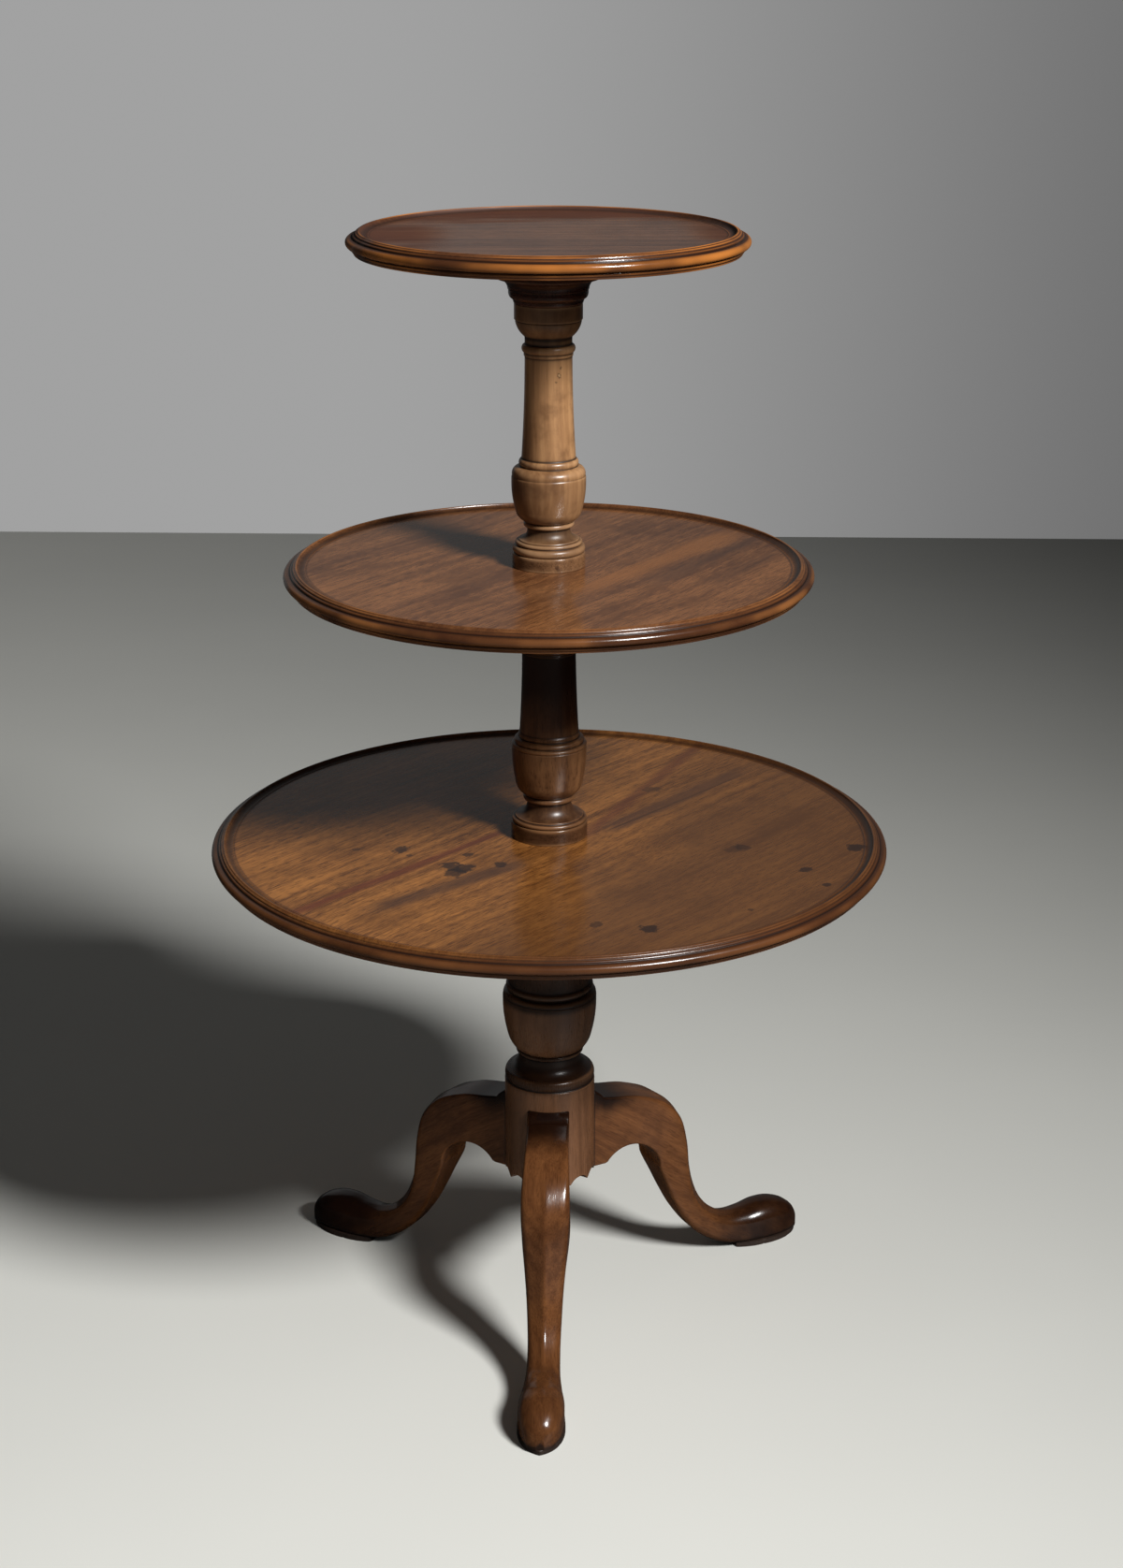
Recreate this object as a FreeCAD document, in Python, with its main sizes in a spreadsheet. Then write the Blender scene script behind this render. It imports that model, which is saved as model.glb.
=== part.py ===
import FreeCAD, Part
import math
import os
import re
import Sketcher
from FreeCAD import Placement, Rotation, Vector

# A three-tier dumb waiter: round dish-topped trays that turn on a sectional turned pillar,
# carried by three cabriole legs. Millimetres, floor at z = 0, front leg towards -Y.

SIZES = {
    # drum, the plain foot of the pillar that takes the legs
    "drum_radius": 42.0,
    "drum_height": 97.0,
    "scallop_width": 18.0,
    "scallop_height": 6.5,
    "scallop_depth": 12.0,
    "scallop_angle": 15.0,
    # the three turned lengths of the pillar: height of the mouldings, radius of the bowl
    "base_height": 191.5,
    "base_radius": 43.5,
    "middle_height": 192.3,
    "middle_radius": 33.5,
    "upper_height": 216.5,
    "upper_radius": 32.5,
    # spigots that plug each length into the one below, and the pin that the top tray turns on
    "middle_spigot_radius": 16.0,
    "upper_spigot_radius": 13.0,
    "socket_depth": 42.0,
    "pin_radius": 11.0,
    "pin_length": 28.0,
    # trays
    "lower_tray_radius": 305.0,
    "middle_tray_radius": 232.5,
    "top_tray_radius": 171.0,
    "floor_thickness": 15.0,
    "rim_width": 20.0,
    "rim_height": 19.0,
    # bosses below the trays, and the collars that stand on the two pierced ones
    "lower_boss_height": 36.0,
    "middle_boss_height": 30.0,
    "top_boss_height": 43.0,
    "flange_lip": 16.0,
    "flange_thickness": 9.0,
    "lower_collar_radius": 34.5,
    "lower_collar_height": 14.4,
    "middle_collar_radius": 32.0,
    "middle_collar_height": 12.2,
    "collar_round": 1.2,
    # countersunk screws from each flange into its tray
    "screw_radius": 2.1,
    "screw_head_radius": 4.2,
    "screw_length": 17.0,
    "screw_slot_width": 0.9,
    "screw_slot_depth": 1.0,
    # legs
    "leg_reach": 279.0,
    "leg_height": 211.0,
    "leg_width": 45.0,
    "arch_radius": 32.0,
    "sweep_height": 14.0,
    "sweep_length": 10.5,
    "sweep_inset": 0.6,
    "tenon_depth": 16.0,
    "tenon_neck": 18.0,
    "tenon_tail": 26.0,
    "tenon_height": 66.0,
    "shoe_height": 5.0,
    "shoe_overhang": 1.2,
    # fits
    "running_clearance": 0.05,
    "glue_clearance": 0.05,
    "seam_gap": 0.3,
    "pin_end_gap": 1.0,
    "overrun": 5.0,
}

LEG_COUNT = 3
SCREW_COUNT = 4
FRONT_ANGLE = -90
LEG_NAMES = ("front", "right", "left")
QUARTER_ROUND_SHARE = (math.sqrt(2) - 1) / 2
CENTRE_MARK = 3

# Outlines of the turned pieces, bottom to top: height share, radius share, bulge share.
# A bulge is the rise of the arc that leads to the next point over its chord, hollow if negative.
BASE_SHARES = [
    (0.000, 0.966, 0), (0.003, 0.940, 0), (0.009, 0.940, 0), (0.010, 0.943, 0.13),
    (0.052, 0.933, 0), (0.055, 0.901, -0.20), (0.115, 0.667, 0), (0.141, 0.667, 0),
    (0.143, 0.680, 0.40), (0.166, 0.680, 0), (0.167, 0.713, 0.08), (0.248, 0.906, 0.034),
    (0.426, 1.000, 0), (0.444, 1.000, 0), (0.446, 0.989, 0.20), (0.475, 0.915, 0),
    (0.478, 0.894, 0.25), (0.512, 0.894, 0), (0.514, 0.883, -0.006), (0.791, 0.791, 0),
    (0.793, 0.818, 0), (0.807, 0.818, 0), (0.809, 0.832, 0.27), (0.840, 0.832, 0),
    (0.842, 0.786, 0), (0.864, 0.786, 0), (0.866, 0.800, 0.09), (0.922, 0.970, 0),
    (0.923, 0.961, 0), (0.928, 0.961, 0), (0.930, 0.989, 0), (1.000, 0.989, 0),
]
MIDDLE_SHARES = [
    (0.000, 0.964, 0.42), (0.020, 0.964, 0), (0.022, 0.925, 0), (0.029, 0.925, -0.20),
    (0.087, 0.597, 0), (0.100, 0.597, 0), (0.102, 0.642, 0.37), (0.130, 0.642, 0),
    (0.133, 0.675, 0.128), (0.199, 0.913, 0.03), (0.366, 0.997, 0), (0.367, 0.973, 0.33),
    (0.386, 0.973, 0), (0.388, 0.907, 0.35), (0.412, 0.860, 0), (0.415, 0.794, 0.22),
    (0.438, 0.794, 0), (0.440, 0.791, -0.006), (0.823, 0.713, 0), (0.825, 0.743, 0),
    (0.836, 0.743, 0), (0.838, 0.758, 0.26), (0.864, 0.758, 0), (0.866, 0.704, 0),
    (0.886, 0.704, 0), (0.887, 0.722, 0.09), (0.938, 0.943, 0), (0.939, 0.931, 0),
    (0.943, 0.931, 0), (0.945, 0.967, 0), (1.000, 0.967, 0),
]
UPPER_SHARES = [
    (0.000, 0.923, 0.28), (0.029, 0.932, 0), (0.032, 0.862, 0.38), (0.049, 0.858, 0),
    (0.050, 0.818, 0), (0.055, 0.815, -0.20), (0.090, 0.578, 0), (0.102, 0.578, 0),
    (0.104, 0.622, 0.42), (0.126, 0.622, 0), (0.128, 0.665, 0.128), (0.176, 0.905, 0.035),
    (0.289, 1.000, 0), (0.309, 1.000, 0), (0.312, 0.982, 0), (0.316, 0.985, 0.20),
    (0.351, 0.831, 0), (0.353, 0.757, 0.24), (0.381, 0.757, 0), (0.383, 0.729, -0.0085),
    (0.792, 0.631, 0), (0.794, 0.655, 0), (0.807, 0.655, 0), (0.809, 0.674, 0.20),
    (0.838, 0.674, 0), (0.840, 0.629, 0), (0.868, 0.629, 0), (0.871, 0.643, 0.09),
    (0.931, 0.880, 0), (0.932, 0.868, 0), (0.935, 0.868, 0), (0.937, 0.905, 0),
    (1.000, 0.905, 0),
]
# A boss: shares of its height and of the radius of the cup that it stands on.
BOSS_SHARES = [
    (0.000, 1.003, 0), (0.080, 1.044, 0), (0.093, 1.054, 0.15), (0.186, 1.156, 0),
    (0.190, 1.163, 0), (0.279, 1.163, 0), (0.281, 1.184, -0.20), (0.490, 1.480, 0),
    (0.500, 1.530, 0),
]
# A tray's rim, from the underside round the edge to the dished floor: shares of the rim's width,
# measured in from the edge, and of its height, then the bulge.
RIM_SHARES = [
    (0.350, 0.000, 0), (0.310, 0.110, 0.30), (0.290, 0.280, 0), (0.186, 0.300, 0.49),
    (0.188, 0.700, 0), (0.300, 0.715, 0.25), (0.410, 0.835, 0.25), (0.500, 0.935, 0.25),
    (0.610, 0.975, -0.22), (0.955, 0.812, 0), (0.980, 0.812, 0),
]
# Stations along a leg: outer point and inner point as shares of the leg's reach and height,
# width as a share of its width, the outer and inner corner radii as shares of that width, then
# how steeply the outer face falls away from the ridge along its middle.
LEG_STATION_SHARES = [
    (0.108, 0.984, 0.108, 0.633, 0.867, 0.06, 0.05, 0.00), (0.215, 0.954, 0.215, 0.633, 0.867, 0.06, 0.05, 0.00),
    (0.323, 0.927, 0.301, 0.630, 0.891, 0.07, 0.05, 0.02), (0.416, 0.879, 0.344, 0.640, 0.956, 0.11, 0.05, 0.10),
    (0.486, 0.791, 0.380, 0.588, 0.989, 0.17, 0.06, 0.22), (0.525, 0.666, 0.403, 0.519, 0.929, 0.21, 0.07, 0.37),
    (0.548, 0.521, 0.427, 0.448, 0.833, 0.23, 0.10, 0.50), (0.568, 0.393, 0.455, 0.363, 0.751, 0.24, 0.14, 0.57),
    (0.602, 0.284, 0.500, 0.249, 0.689, 0.26, 0.20, 0.56), (0.656, 0.209, 0.568, 0.133, 0.656, 0.30, 0.28, 0.46),
    (0.717, 0.175, 0.649, 0.054, 0.689, 0.36, 0.30, 0.28), (0.780, 0.175, 0.735, 0.016, 0.789, 0.42, 0.25, 0.12),
    (0.846, 0.188, 0.832, 0.011, 0.911, 0.45, 0.20, 0.04), (0.914, 0.177, 0.914, 0.011, 0.867, 0.46, 0.20, 0.00),
    (0.961, 0.149, 0.961, 0.011, 0.689, 0.46, 0.20, 0.00), (0.989, 0.111, 0.989, 0.011, 0.444, 0.46, 0.20, 0.00),
    (1.000, 0.071, 1.000, 0.015, 0.178, 0.44, 0.20, 0.00),
]
# Centre of the arch below the knee: shares of the leg's reach and height.
ARCH_SHARES = (0.2796, 0.5450)
# Bulge of the upsweep where a leg's top meets the drum.
SWEEP_BULGE_SHARE = -0.18
# Half of a shoe's plan, heel to toe: shares of the leg's reach and of half its width, bulge.
SHOE_SHARES = [(0.731, 0.60, 0.06), (0.832, 0.93, 0.06), (0.935, 0.80, 0.12)]

doc = FreeCAD.newDocument("dumb_waiter")
sheet = doc.addObject("Spreadsheet::Sheet", "Sizes")
for row, (alias, size) in enumerate(SIZES.items(), start=1):
    sheet.set(f"A{row}", alias)
    sheet.set(f"B{row}", str(size))
    sheet.setAlias(f"B{row}", alias)
doc.recompute()


def bind(formula):
    """Turns the sizes named in a formula into references to the sheet."""
    return re.sub(r"[a-z]\w*", lambda word: "Sizes." + word[0] if word[0] in SIZES else word[0], formula)


def value(formula):
    return float(sheet.evalExpression(bind(formula)))


def new_body(label):
    body = doc.addObject("PartDesign::Body", label)
    body.Label = label
    return body


def origin_feature(body, role):
    return next(feature for feature in body.Origin.OriginFeatures if feature.Role == role)


def side_between(start, end, bulge):
    """A straight or round side of an outline, with its end marks in the direction of travel."""
    if not bulge:
        return Part.LineSegment(start, end), 1, 2
    chord = end - start
    across = Vector(chord.y, -chord.x, 0)
    centre = (start + end) * 0.5 + across * (bulge - math.copysign(radius_share(bulge), bulge))
    marks = (start, end) if bulge > 0 else (end, start)
    first, last = (math.atan2(mark.y - centre.y, mark.x - centre.x) for mark in marks)
    if last < first:
        last += 2 * math.pi
    circle = Part.Circle(centre, Vector(0, 0, 1), chord.Length * radius_share(bulge))
    arc = Part.ArcOfCircle(circle, first, last)
    return (arc, 1, 2) if bulge > 0 else (arc, 2, 1)


def radius_share(bulge):
    """Radius of an arc over its chord, from its bulge."""
    return 1 / (8 * abs(bulge)) + abs(bulge) / 2


def new_sketch(body, plane, shift=(0, 0, 0), tilt=None):
    """A sketch on one of the body's own planes, moved by formulas and tipped about its x axis."""
    sketch = body.newObject("Sketcher::SketchObject", "Outline")
    sketch.AttachmentSupport = (origin_feature(body, plane), [""])
    sketch.MapMode = "FlatFace"
    sketch.AttachmentOffset = Placement(Vector(), Rotation(Vector(1, 0, 0), value(tilt) if tilt else 0))
    for axis, formula in zip("xyz", shift):
        if formula:
            sketch.setExpression("AttachmentOffset.Base." + axis, bind(formula))
    if tilt:
        sketch.setExpression("AttachmentOffset.Rotation.Angle", bind(tilt))
    return sketch


def outline(sketch, corners):
    """Draws a closed outline through corners (x, y, bulge of the side that follows)."""
    points = [Vector(value(x), value(y), 0) for x, y, bulge in corners]
    next_points = points[1:] + points[:1]
    sides = [side_between(start, end, corner[2]) for start, end, corner in zip(points, next_points, corners)]
    sketch.addGeometry([curve for curve, start_mark, end_mark in sides])
    bound = []
    for i, (x, y, bulge) in enumerate(corners):
        curve, start_mark, end_mark = sides[i]
        last = (i - 1) % len(sides)
        bound.append((Sketcher.Constraint("Coincident", last, sides[last][2], i, start_mark), None))
        bound += hold_at(i, start_mark, x, y)
        if bulge:
            next_x, next_y, next_bulge = corners[(i + 1) % len(corners)]
            chord = f"sqrt((({next_x}) - ({x}))^2 + (({next_y}) - ({y}))^2)"
            bound.append((Sketcher.Constraint("Radius", i, curve.Radius), f"{radius_share(bulge)} * {chord}"))
    constrain(sketch, bound)
    return sketch


def hold_at(curve, mark, x, y):
    """Constraints that hold one mark of a curve at x, y; a plain 0 lies on the axis."""
    bound = []
    for kind, axis, formula in (("DistanceX", -2, x), ("DistanceY", -1, y)):
        if formula == "0":
            bound.append((Sketcher.Constraint("PointOnObject", curve, mark, axis), None))
        else:
            bound.append((Sketcher.Constraint(kind, curve, mark, value(formula)), formula))
    return bound


def constrain(sketch, bound):
    """Adds constraints and binds those that have a formula to the sheet."""
    indexes = sketch.addConstraint([constraint for constraint, formula in bound])
    for index, (constraint, formula) in zip(indexes, bound):
        if formula:
            sketch.setExpression(f"Constraints[{index}]", bind(formula))


def disc(sketch, x, y, radius):
    """Draws one full circle."""
    sketch.addGeometry(Part.Circle(Vector(value(x), value(y), 0), Vector(0, 0, 1), value(radius)))
    size = (Sketcher.Constraint("Radius", 0, value(radius)), radius)
    constrain(sketch, hold_at(0, CENTRE_MARK, x, y) + [size])
    return sketch


def turn(body, kind, corners, shift=(0, 0, 0)):
    """Turns an outline about the upright line through the sketch's own origin."""
    sketch = outline(new_sketch(body, "XZ_Plane", shift), corners)
    feature = body.newObject("PartDesign::" + kind, kind)
    feature.Profile = sketch
    feature.ReferenceAxis = (sketch, ["V_Axis"])
    feature.Angle = 360
    body.Tip = feature
    return feature


def extrude(body, kind, sketch, length, reverse=False):
    feature = body.newObject("PartDesign::" + kind, kind)
    feature.Profile = sketch
    feature.setExpression("Length", bind(length))
    feature.Reversed = reverse
    body.Tip = feature
    return feature


def repeat_round(body, features, count):
    """Repeats features evenly round the pillar's axis."""
    pattern = body.newObject("PartDesign::PolarPattern", "Round")
    pattern.Originals = features
    pattern.Axis = (origin_feature(body, "Z_Axis"), [""])
    pattern.Angle = 360
    pattern.Occurrences = count
    body.Tip = pattern


def stack(shares, bottom, height, radius):
    """Corners of a turned outline from its shares."""
    return [(f"{radius} * {r}", f"{bottom} + {height} * {h}", bulge) for h, r, bulge in shares]


def rectangle(left, bottom, right, top):
    return [(left, bottom, 0), (right, bottom, 0), (right, top, 0), (left, top, 0)]


# Levels of the pillar, floor upwards; the drum ends level with the legs' roots.
drum_bottom = f"leg_height * {LEG_STATION_SHARES[0][3]}"
drum_top = f"{drum_bottom} + drum_height"
base_top = f"{drum_top} + base_height"
lower_underside = f"{base_top} + lower_boss_height"
lower_floor = f"{lower_underside} + floor_thickness"
middle_bottom = f"{lower_floor} + lower_collar_height + seam_gap"
middle_top = f"{middle_bottom} + middle_height"
middle_underside = f"{middle_top} + middle_boss_height"
middle_floor = f"{middle_underside} + floor_thickness"
upper_bottom = f"{middle_floor} + middle_collar_height + seam_gap"
upper_top = f"{upper_bottom} + upper_height"
top_underside = f"{upper_top} + top_boss_height"

base_cup = f"base_radius * {BASE_SHARES[-1][1]}"
middle_cup = f"middle_radius * {MIDDLE_SHARES[-1][1]}"
upper_cup = f"upper_radius * {UPPER_SHARES[-1][1]}"


def socket(top, spigot_radius):
    """Corners of the blind hole in the top of a pillar length that takes the spigot above."""
    bore = f"{spigot_radius} + glue_clearance"
    bottom = f"{top} - socket_depth"
    return [(bore, top, 0), (bore, bottom, 0), ("0", bottom, 0)]


def spigot(column_bottom, socket_top, radius):
    """Corners of the plain end that reaches down to the bottom of the socket below."""
    end = f"{socket_top} - socket_depth"
    return [("0", end, 0), (radius, end, 0), (radius, column_bottom, 0)]


def tenon_outline(clearance):
    """Plan of a leg's dovetail, along +X, tail towards the pillar's axis."""
    neck = f"tenon_neck / 2 + {clearance}"
    tail = f"tenon_tail / 2 + {clearance}"
    inner = f"drum_radius - tenon_depth - {clearance}"
    outer = "drum_radius + overrun"
    return [(inner, f"-({tail})", 0), (outer, f"-({neck})", 0), (outer, neck, 0), (inner, tail, 0)]


def make_base_column():
    """Drum, pedestal mouldings and cup in one turning, with the legs' sockets cut from below."""
    body = new_body("base_column")
    drum = [("0", drum_bottom, 0), ("drum_radius", drum_bottom, 0)]
    mouldings = stack(BASE_SHARES, drum_top, "base_height", "base_radius")
    turn(body, "Revolution", drum + mouldings + socket(base_top, "middle_spigot_radius"))

    plan = new_sketch(body, "XY_Plane", (0, 0, f"{drum_bottom} - overrun"))
    outline(plan, tenon_outline("glue_clearance"))
    cut = extrude(body, "Pocket", plan, "overrun + tenon_height + glue_clearance", reverse=True)
    repeat_round(body, [cut], LEG_COUNT)

    # hollow scallops along the drum's lower edge, two between each pair of legs
    drop = "(scallop_width^2 / 4 - scallop_height^2) / (2 * scallop_height)"
    radius = f"{drop} + scallop_height"
    for hand in (-1, 1):
        across = f"{hand} * (drum_radius - scallop_depth / 2) * tan(scallop_angle)"
        face = new_sketch(body, "YZ_Plane", (0, 0, "-(drum_radius - scallop_depth)"))
        disc(face, across, f"{drum_bottom} - ({drop})", radius)
        cut = extrude(body, "Pocket", face, "scallop_depth + overrun")
        repeat_round(body, [cut], LEG_COUNT)
    body.Placement.Rotation = Rotation(Vector(0, 0, 1), FRONT_ANGLE)
    return body


def make_middle_column():
    body = new_body("middle_column")
    corners = spigot(middle_bottom, base_top, "middle_spigot_radius")
    corners += stack(MIDDLE_SHARES, middle_bottom, "middle_height", "middle_radius")
    turn(body, "Revolution", corners + socket(middle_top, "upper_spigot_radius"))
    return body


def make_upper_column():
    body = new_body("upper_column")
    pin_top = f"{upper_top} + pin_length"
    corners = spigot(upper_bottom, middle_top, "upper_spigot_radius")
    corners += stack(UPPER_SHARES, upper_bottom, "upper_height", "upper_radius")
    corners += [("pin_radius", upper_top, 0), ("pin_radius", pin_top, 0), ("0", pin_top, 0)]
    turn(body, "Revolution", corners)
    return body


def screw_outline(start, clearance):
    """Half outline of a countersunk screw that points up, head at the bottom, at its own axis."""
    shank = f"screw_radius + {clearance}"
    head = f"screw_head_radius + {clearance}"
    neck = f"{start} + screw_head_radius - screw_radius"
    tip = f"{start} + screw_length + {clearance}"
    return [("0", start, 0), (head, start, 0), (shank, neck, 0), (shank, tip, 0), ("0", tip, 0)]


def throat_radius(cup_radius):
    """Radius of a boss just below its flange."""
    return f"{cup_radius} * {BOSS_SHARES[-1][1]}"


def screw_circle(cup_radius):
    """Radius of the ring of screws, along the middle of the flange's lip."""
    return f"{throat_radius(cup_radius)} + flange_lip / 2"


def cut_screw_holes(body, underside, cup_radius):
    start = f"{underside} - flange_thickness"
    holes = turn(body, "Groove", screw_outline(start, "glue_clearance"), (screw_circle(cup_radius), 0, 0))
    repeat_round(body, [holes], SCREW_COUNT)


def make_boss(tier, bottom, underside, cup_radius, bore):
    """Turned block with a flange, fixed under a tray, that turns on the cup of the pillar."""
    body = new_body(f"{tier}_boss")
    flange_bottom = f"{underside} - flange_thickness"
    throat = throat_radius(cup_radius)
    edge = f"{throat} + flange_lip"
    corners = stack(BOSS_SHARES, bottom, f"{tier}_boss_height", cup_radius)
    corners += [(throat, flange_bottom, 0), (edge, flange_bottom, 0), (edge, underside, 0)]
    turn(body, "Revolution", corners + bore)
    cut_screw_holes(body, underside, cup_radius)
    return body


def through_bore(bottom, top, spigot_radius):
    wall = f"{spigot_radius} + running_clearance"
    return [(wall, top, 0), (wall, bottom, 0)]


def make_screws(tier, underside, cup_radius):
    """The ring of slotted screws that fixes a boss to its tray."""
    body = new_body(f"{tier}_screws")
    start = f"{underside} - flange_thickness"
    circle = screw_circle(cup_radius)
    screw = turn(body, "Revolution", screw_outline(start, "0"), (circle, 0, 0))
    reach = "(screw_head_radius + overrun)"
    slot = rectangle(f"-{reach}", "-screw_slot_width / 2", reach, "screw_slot_width / 2")
    face = outline(new_sketch(body, "XY_Plane", (circle, 0, start)), slot)
    groove = extrude(body, "Pocket", face, "screw_slot_depth", reverse=True)
    repeat_round(body, [screw, groove], SCREW_COUNT)
    return body


def make_tray(tier, underside, cup_radius, spigot_radius=None):
    """Dish-turned board with a reeded rim; the two lower ones are pierced for the pillar."""
    body = new_body(f"{tier}_tray")
    edge = f"{tier}_tray_radius"
    floor = f"{underside} + floor_thickness"
    inner = f"{spigot_radius} + running_clearance" if spigot_radius else "0"
    corners = [(inner, underside, 0)]
    for inset, rise, bulge in RIM_SHARES:
        corners.append((f"{edge} - rim_width * {inset}", f"{underside} + rim_height * {rise}", bulge))
    corners += [(corners[-1][0], floor, 0), (inner, floor, 0)]
    turn(body, "Revolution", corners)
    cut_screw_holes(body, underside, cup_radius)
    return body


def make_collar(tier, floor, spigot_radius):
    """Plinth ring glued to a tray's floor round the pillar."""
    body = new_body(f"{tier}_collar")
    radius = f"{tier}_collar_radius"
    top = f"{floor} + {tier}_collar_height"
    inner = f"{spigot_radius} + running_clearance"
    corners = [(inner, floor, 0), (radius, floor, 0), (radius, f"{top} - collar_round", QUARTER_ROUND_SHARE)]
    turn(body, "Revolution", corners + [(f"{radius} - collar_round", top, 0), (inner, top, 0)])
    return body


def leg_section(body, station):
    """Rounded rectangle across the leg, square to its run, with a ridge along the outer face."""
    outer_reach, outer_height, inner_reach, inner_height, width_share, outer_round, inner_round, fall = station
    run = f"leg_reach * {outer_reach - inner_reach:.4f}"
    rise = f"leg_height * {outer_height - inner_height:.4f}"
    middle_reach = f"leg_reach * {(outer_reach + inner_reach) / 2:.4f}"
    middle_height = f"leg_height * {(outer_height + inner_height) / 2:.4f}"
    depth = f"sqrt(({run})^2 + ({rise})^2) / 2"
    width = f"leg_width * {width_share} / 2"
    small = f"leg_width * {width_share * inner_round:.4f}"
    # the outer corner's arc turns from the side into the slope of the ridge
    lean = math.atan(fall)
    arc_width_share = outer_round * (1 - math.sin(lean))
    slope_share = fall * (1 / 2 - arc_width_share)
    arc_width = f"leg_width * {width_share * arc_width_share:.4f}"
    slope = f"leg_width * {width_share * slope_share:.4f}"
    arc_height = f"leg_width * {width_share * outer_round * math.cos(lean):.4f}"
    arc_bulge_share = math.tan((math.pi / 2 - lean) / 4) / 2
    half = [
        (f"{width} - {small}", f"-({depth})", QUARTER_ROUND_SHARE),
        (width, f"-({depth} - {small})", 0),
        (width, f"{depth} - {slope} - {arc_height}", arc_bulge_share),
        (f"{width} - {arc_width}", f"{depth} - {slope}", 0),
    ]
    other_bulges = [half[2][2], 0, half[0][2], 0]
    other = [(f"-({x})", y, bulge) for (x, y, same), bulge in zip(reversed(half), other_bulges)]
    sketch = new_sketch(body, "YZ_Plane", (0, middle_height, middle_reach), f"atan2({run}; {rise})")
    return outline(sketch, [("0", depth, 0)] + other + half)


def make_leg(label, angle):
    """Cabriole leg, dovetailed to the drum; drawn along +X and then turned to its place."""
    body = new_body(label)
    sections = [leg_section(body, station) for station in LEG_STATION_SHARES]
    loft = body.newObject("PartDesign::AdditiveLoft", "Run")
    loft.Profile = sections[0]
    loft.Sections = sections[1:]
    body.Tip = loft

    # upsweep of the leg's top where it meets the drum
    root_width = f"leg_width * {LEG_STATION_SHARES[0][4]} - 2 * sweep_inset"
    seat = f"leg_height * {LEG_STATION_SHARES[1][1]}"
    sweep_top = f"{seat} + sweep_height"
    sweep = [("drum_radius - overrun", seat, 0), ("drum_radius + sweep_length", seat, SWEEP_BULGE_SHARE),
             ("drum_radius", sweep_top, 0), ("drum_radius - overrun", sweep_top, 0)]
    sketch = outline(new_sketch(body, "XZ_Plane", (0, 0, f"({root_width}) / 2")), sweep)
    extrude(body, "Pad", sketch, root_width, reverse=True)

    # arch below the knee
    arch_reach = f"leg_reach * {ARCH_SHARES[0]}"
    arch_level = f"leg_height * {ARCH_SHARES[1]}"
    face = disc(new_sketch(body, "XZ_Plane", (0, 0, "leg_width")), arch_reach, arch_level, "arch_radius")
    extrude(body, "Pocket", face, "2 * leg_width")

    # hollow end scribed to the drum, then the dovetail
    drum = disc(new_sketch(body, "XY_Plane"), "0", "0", "drum_radius + glue_clearance")
    extrude(body, "Pocket", drum, "leg_height + sweep_height", reverse=True)
    plan = outline(new_sketch(body, "XY_Plane", (0, 0, drum_bottom)), tenon_outline("0"))
    extrude(body, "Pad", plan, "tenon_height")

    # flat sole
    sole = new_sketch(body, "XY_Plane", (0, 0, "shoe_height"))
    outline(sole, rectangle("drum_radius", "-leg_width", "leg_reach + overrun", "leg_width"))
    extrude(body, "Pocket", sole, "shoe_height + overrun")
    body.Placement.Rotation = Rotation(Vector(0, 0, 1), angle)
    return body


def make_shoe(label, angle):
    """Thin pad glued below a foot, cut to the foot's plan."""
    body = new_body(label)
    half = [(f"leg_reach * {x}", f"leg_width / 2 * {y}", bulge) for x, y, bulge in SHOE_SHARES]
    near = [(x, f"-({y})", bulge) for x, y, bulge in half]
    toe = ("leg_reach + shoe_overhang", "0", half[-1][2])
    far_bulges = [half[1][2], half[0][2], 0]
    far = [(x, y, bulge) for (x, y, same), bulge in zip(reversed(half), far_bulges)]
    extrude(body, "Pad", outline(new_sketch(body, "XY_Plane"), near + [toe] + far), "shoe_height")
    body.Placement.Rotation = Rotation(Vector(0, 0, 1), angle)
    return body


lower_bore = through_bore(base_top, lower_underside, "middle_spigot_radius")
middle_bore = through_bore(middle_top, middle_underside, "upper_spigot_radius")
pin_wall = "pin_radius + running_clearance"
pin_end = f"{upper_top} + pin_length + pin_end_gap"
top_bore = [("0", top_underside, 0), ("0", pin_end, 0), (pin_wall, pin_end, 0), (pin_wall, upper_top, 0)]

parts = [make_base_column()]
for number, leg_name in enumerate(LEG_NAMES):
    leg_angle = FRONT_ANGLE + number * 360 / LEG_COUNT
    parts.append(make_leg(f"{leg_name}_leg", leg_angle))
    parts.append(make_shoe(f"{leg_name}_shoe", leg_angle))
parts += [
    make_boss("lower", base_top, lower_underside, base_cup, lower_bore),
    make_screws("lower", lower_underside, base_cup),
    make_tray("lower", lower_underside, base_cup, "middle_spigot_radius"),
    make_collar("lower", lower_floor, "middle_spigot_radius"),
    make_middle_column(),
    make_boss("middle", middle_top, middle_underside, middle_cup, middle_bore),
    make_screws("middle", middle_underside, middle_cup),
    make_tray("middle", middle_underside, middle_cup, "upper_spigot_radius"),
    make_collar("middle", middle_floor, "upper_spigot_radius"),
    make_upper_column(),
    make_boss("top", upper_top, top_underside, upper_cup, top_bore),
    make_screws("top", top_underside, upper_cup),
    make_tray("top", top_underside, upper_cup),
]
doc.recompute()

for item in doc.Objects:
    if "Invalid" in item.State or "Error" in item.State:
        raise RuntimeError(f"{item.Label} did not build: {item.State}")
for part in parts:
    if part.Shape.isNull() or not part.Shape.isValid() or not part.Shape.Solids:
        raise RuntimeError(f"{part.Label} has no sound solid")

os.makedirs("parts", exist_ok=True)
for part in parts:
    part.Shape.exportStep(f"parts/{part.Label}.step")
    print(f"{part.Label}: {len(part.Shape.Solids)} solid(s), {part.Shape.Volume / 1000:.1f} cm3")
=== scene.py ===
import math

import bmesh
import bpy
import numpy as np
from mathutils import Matrix, Vector


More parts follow.
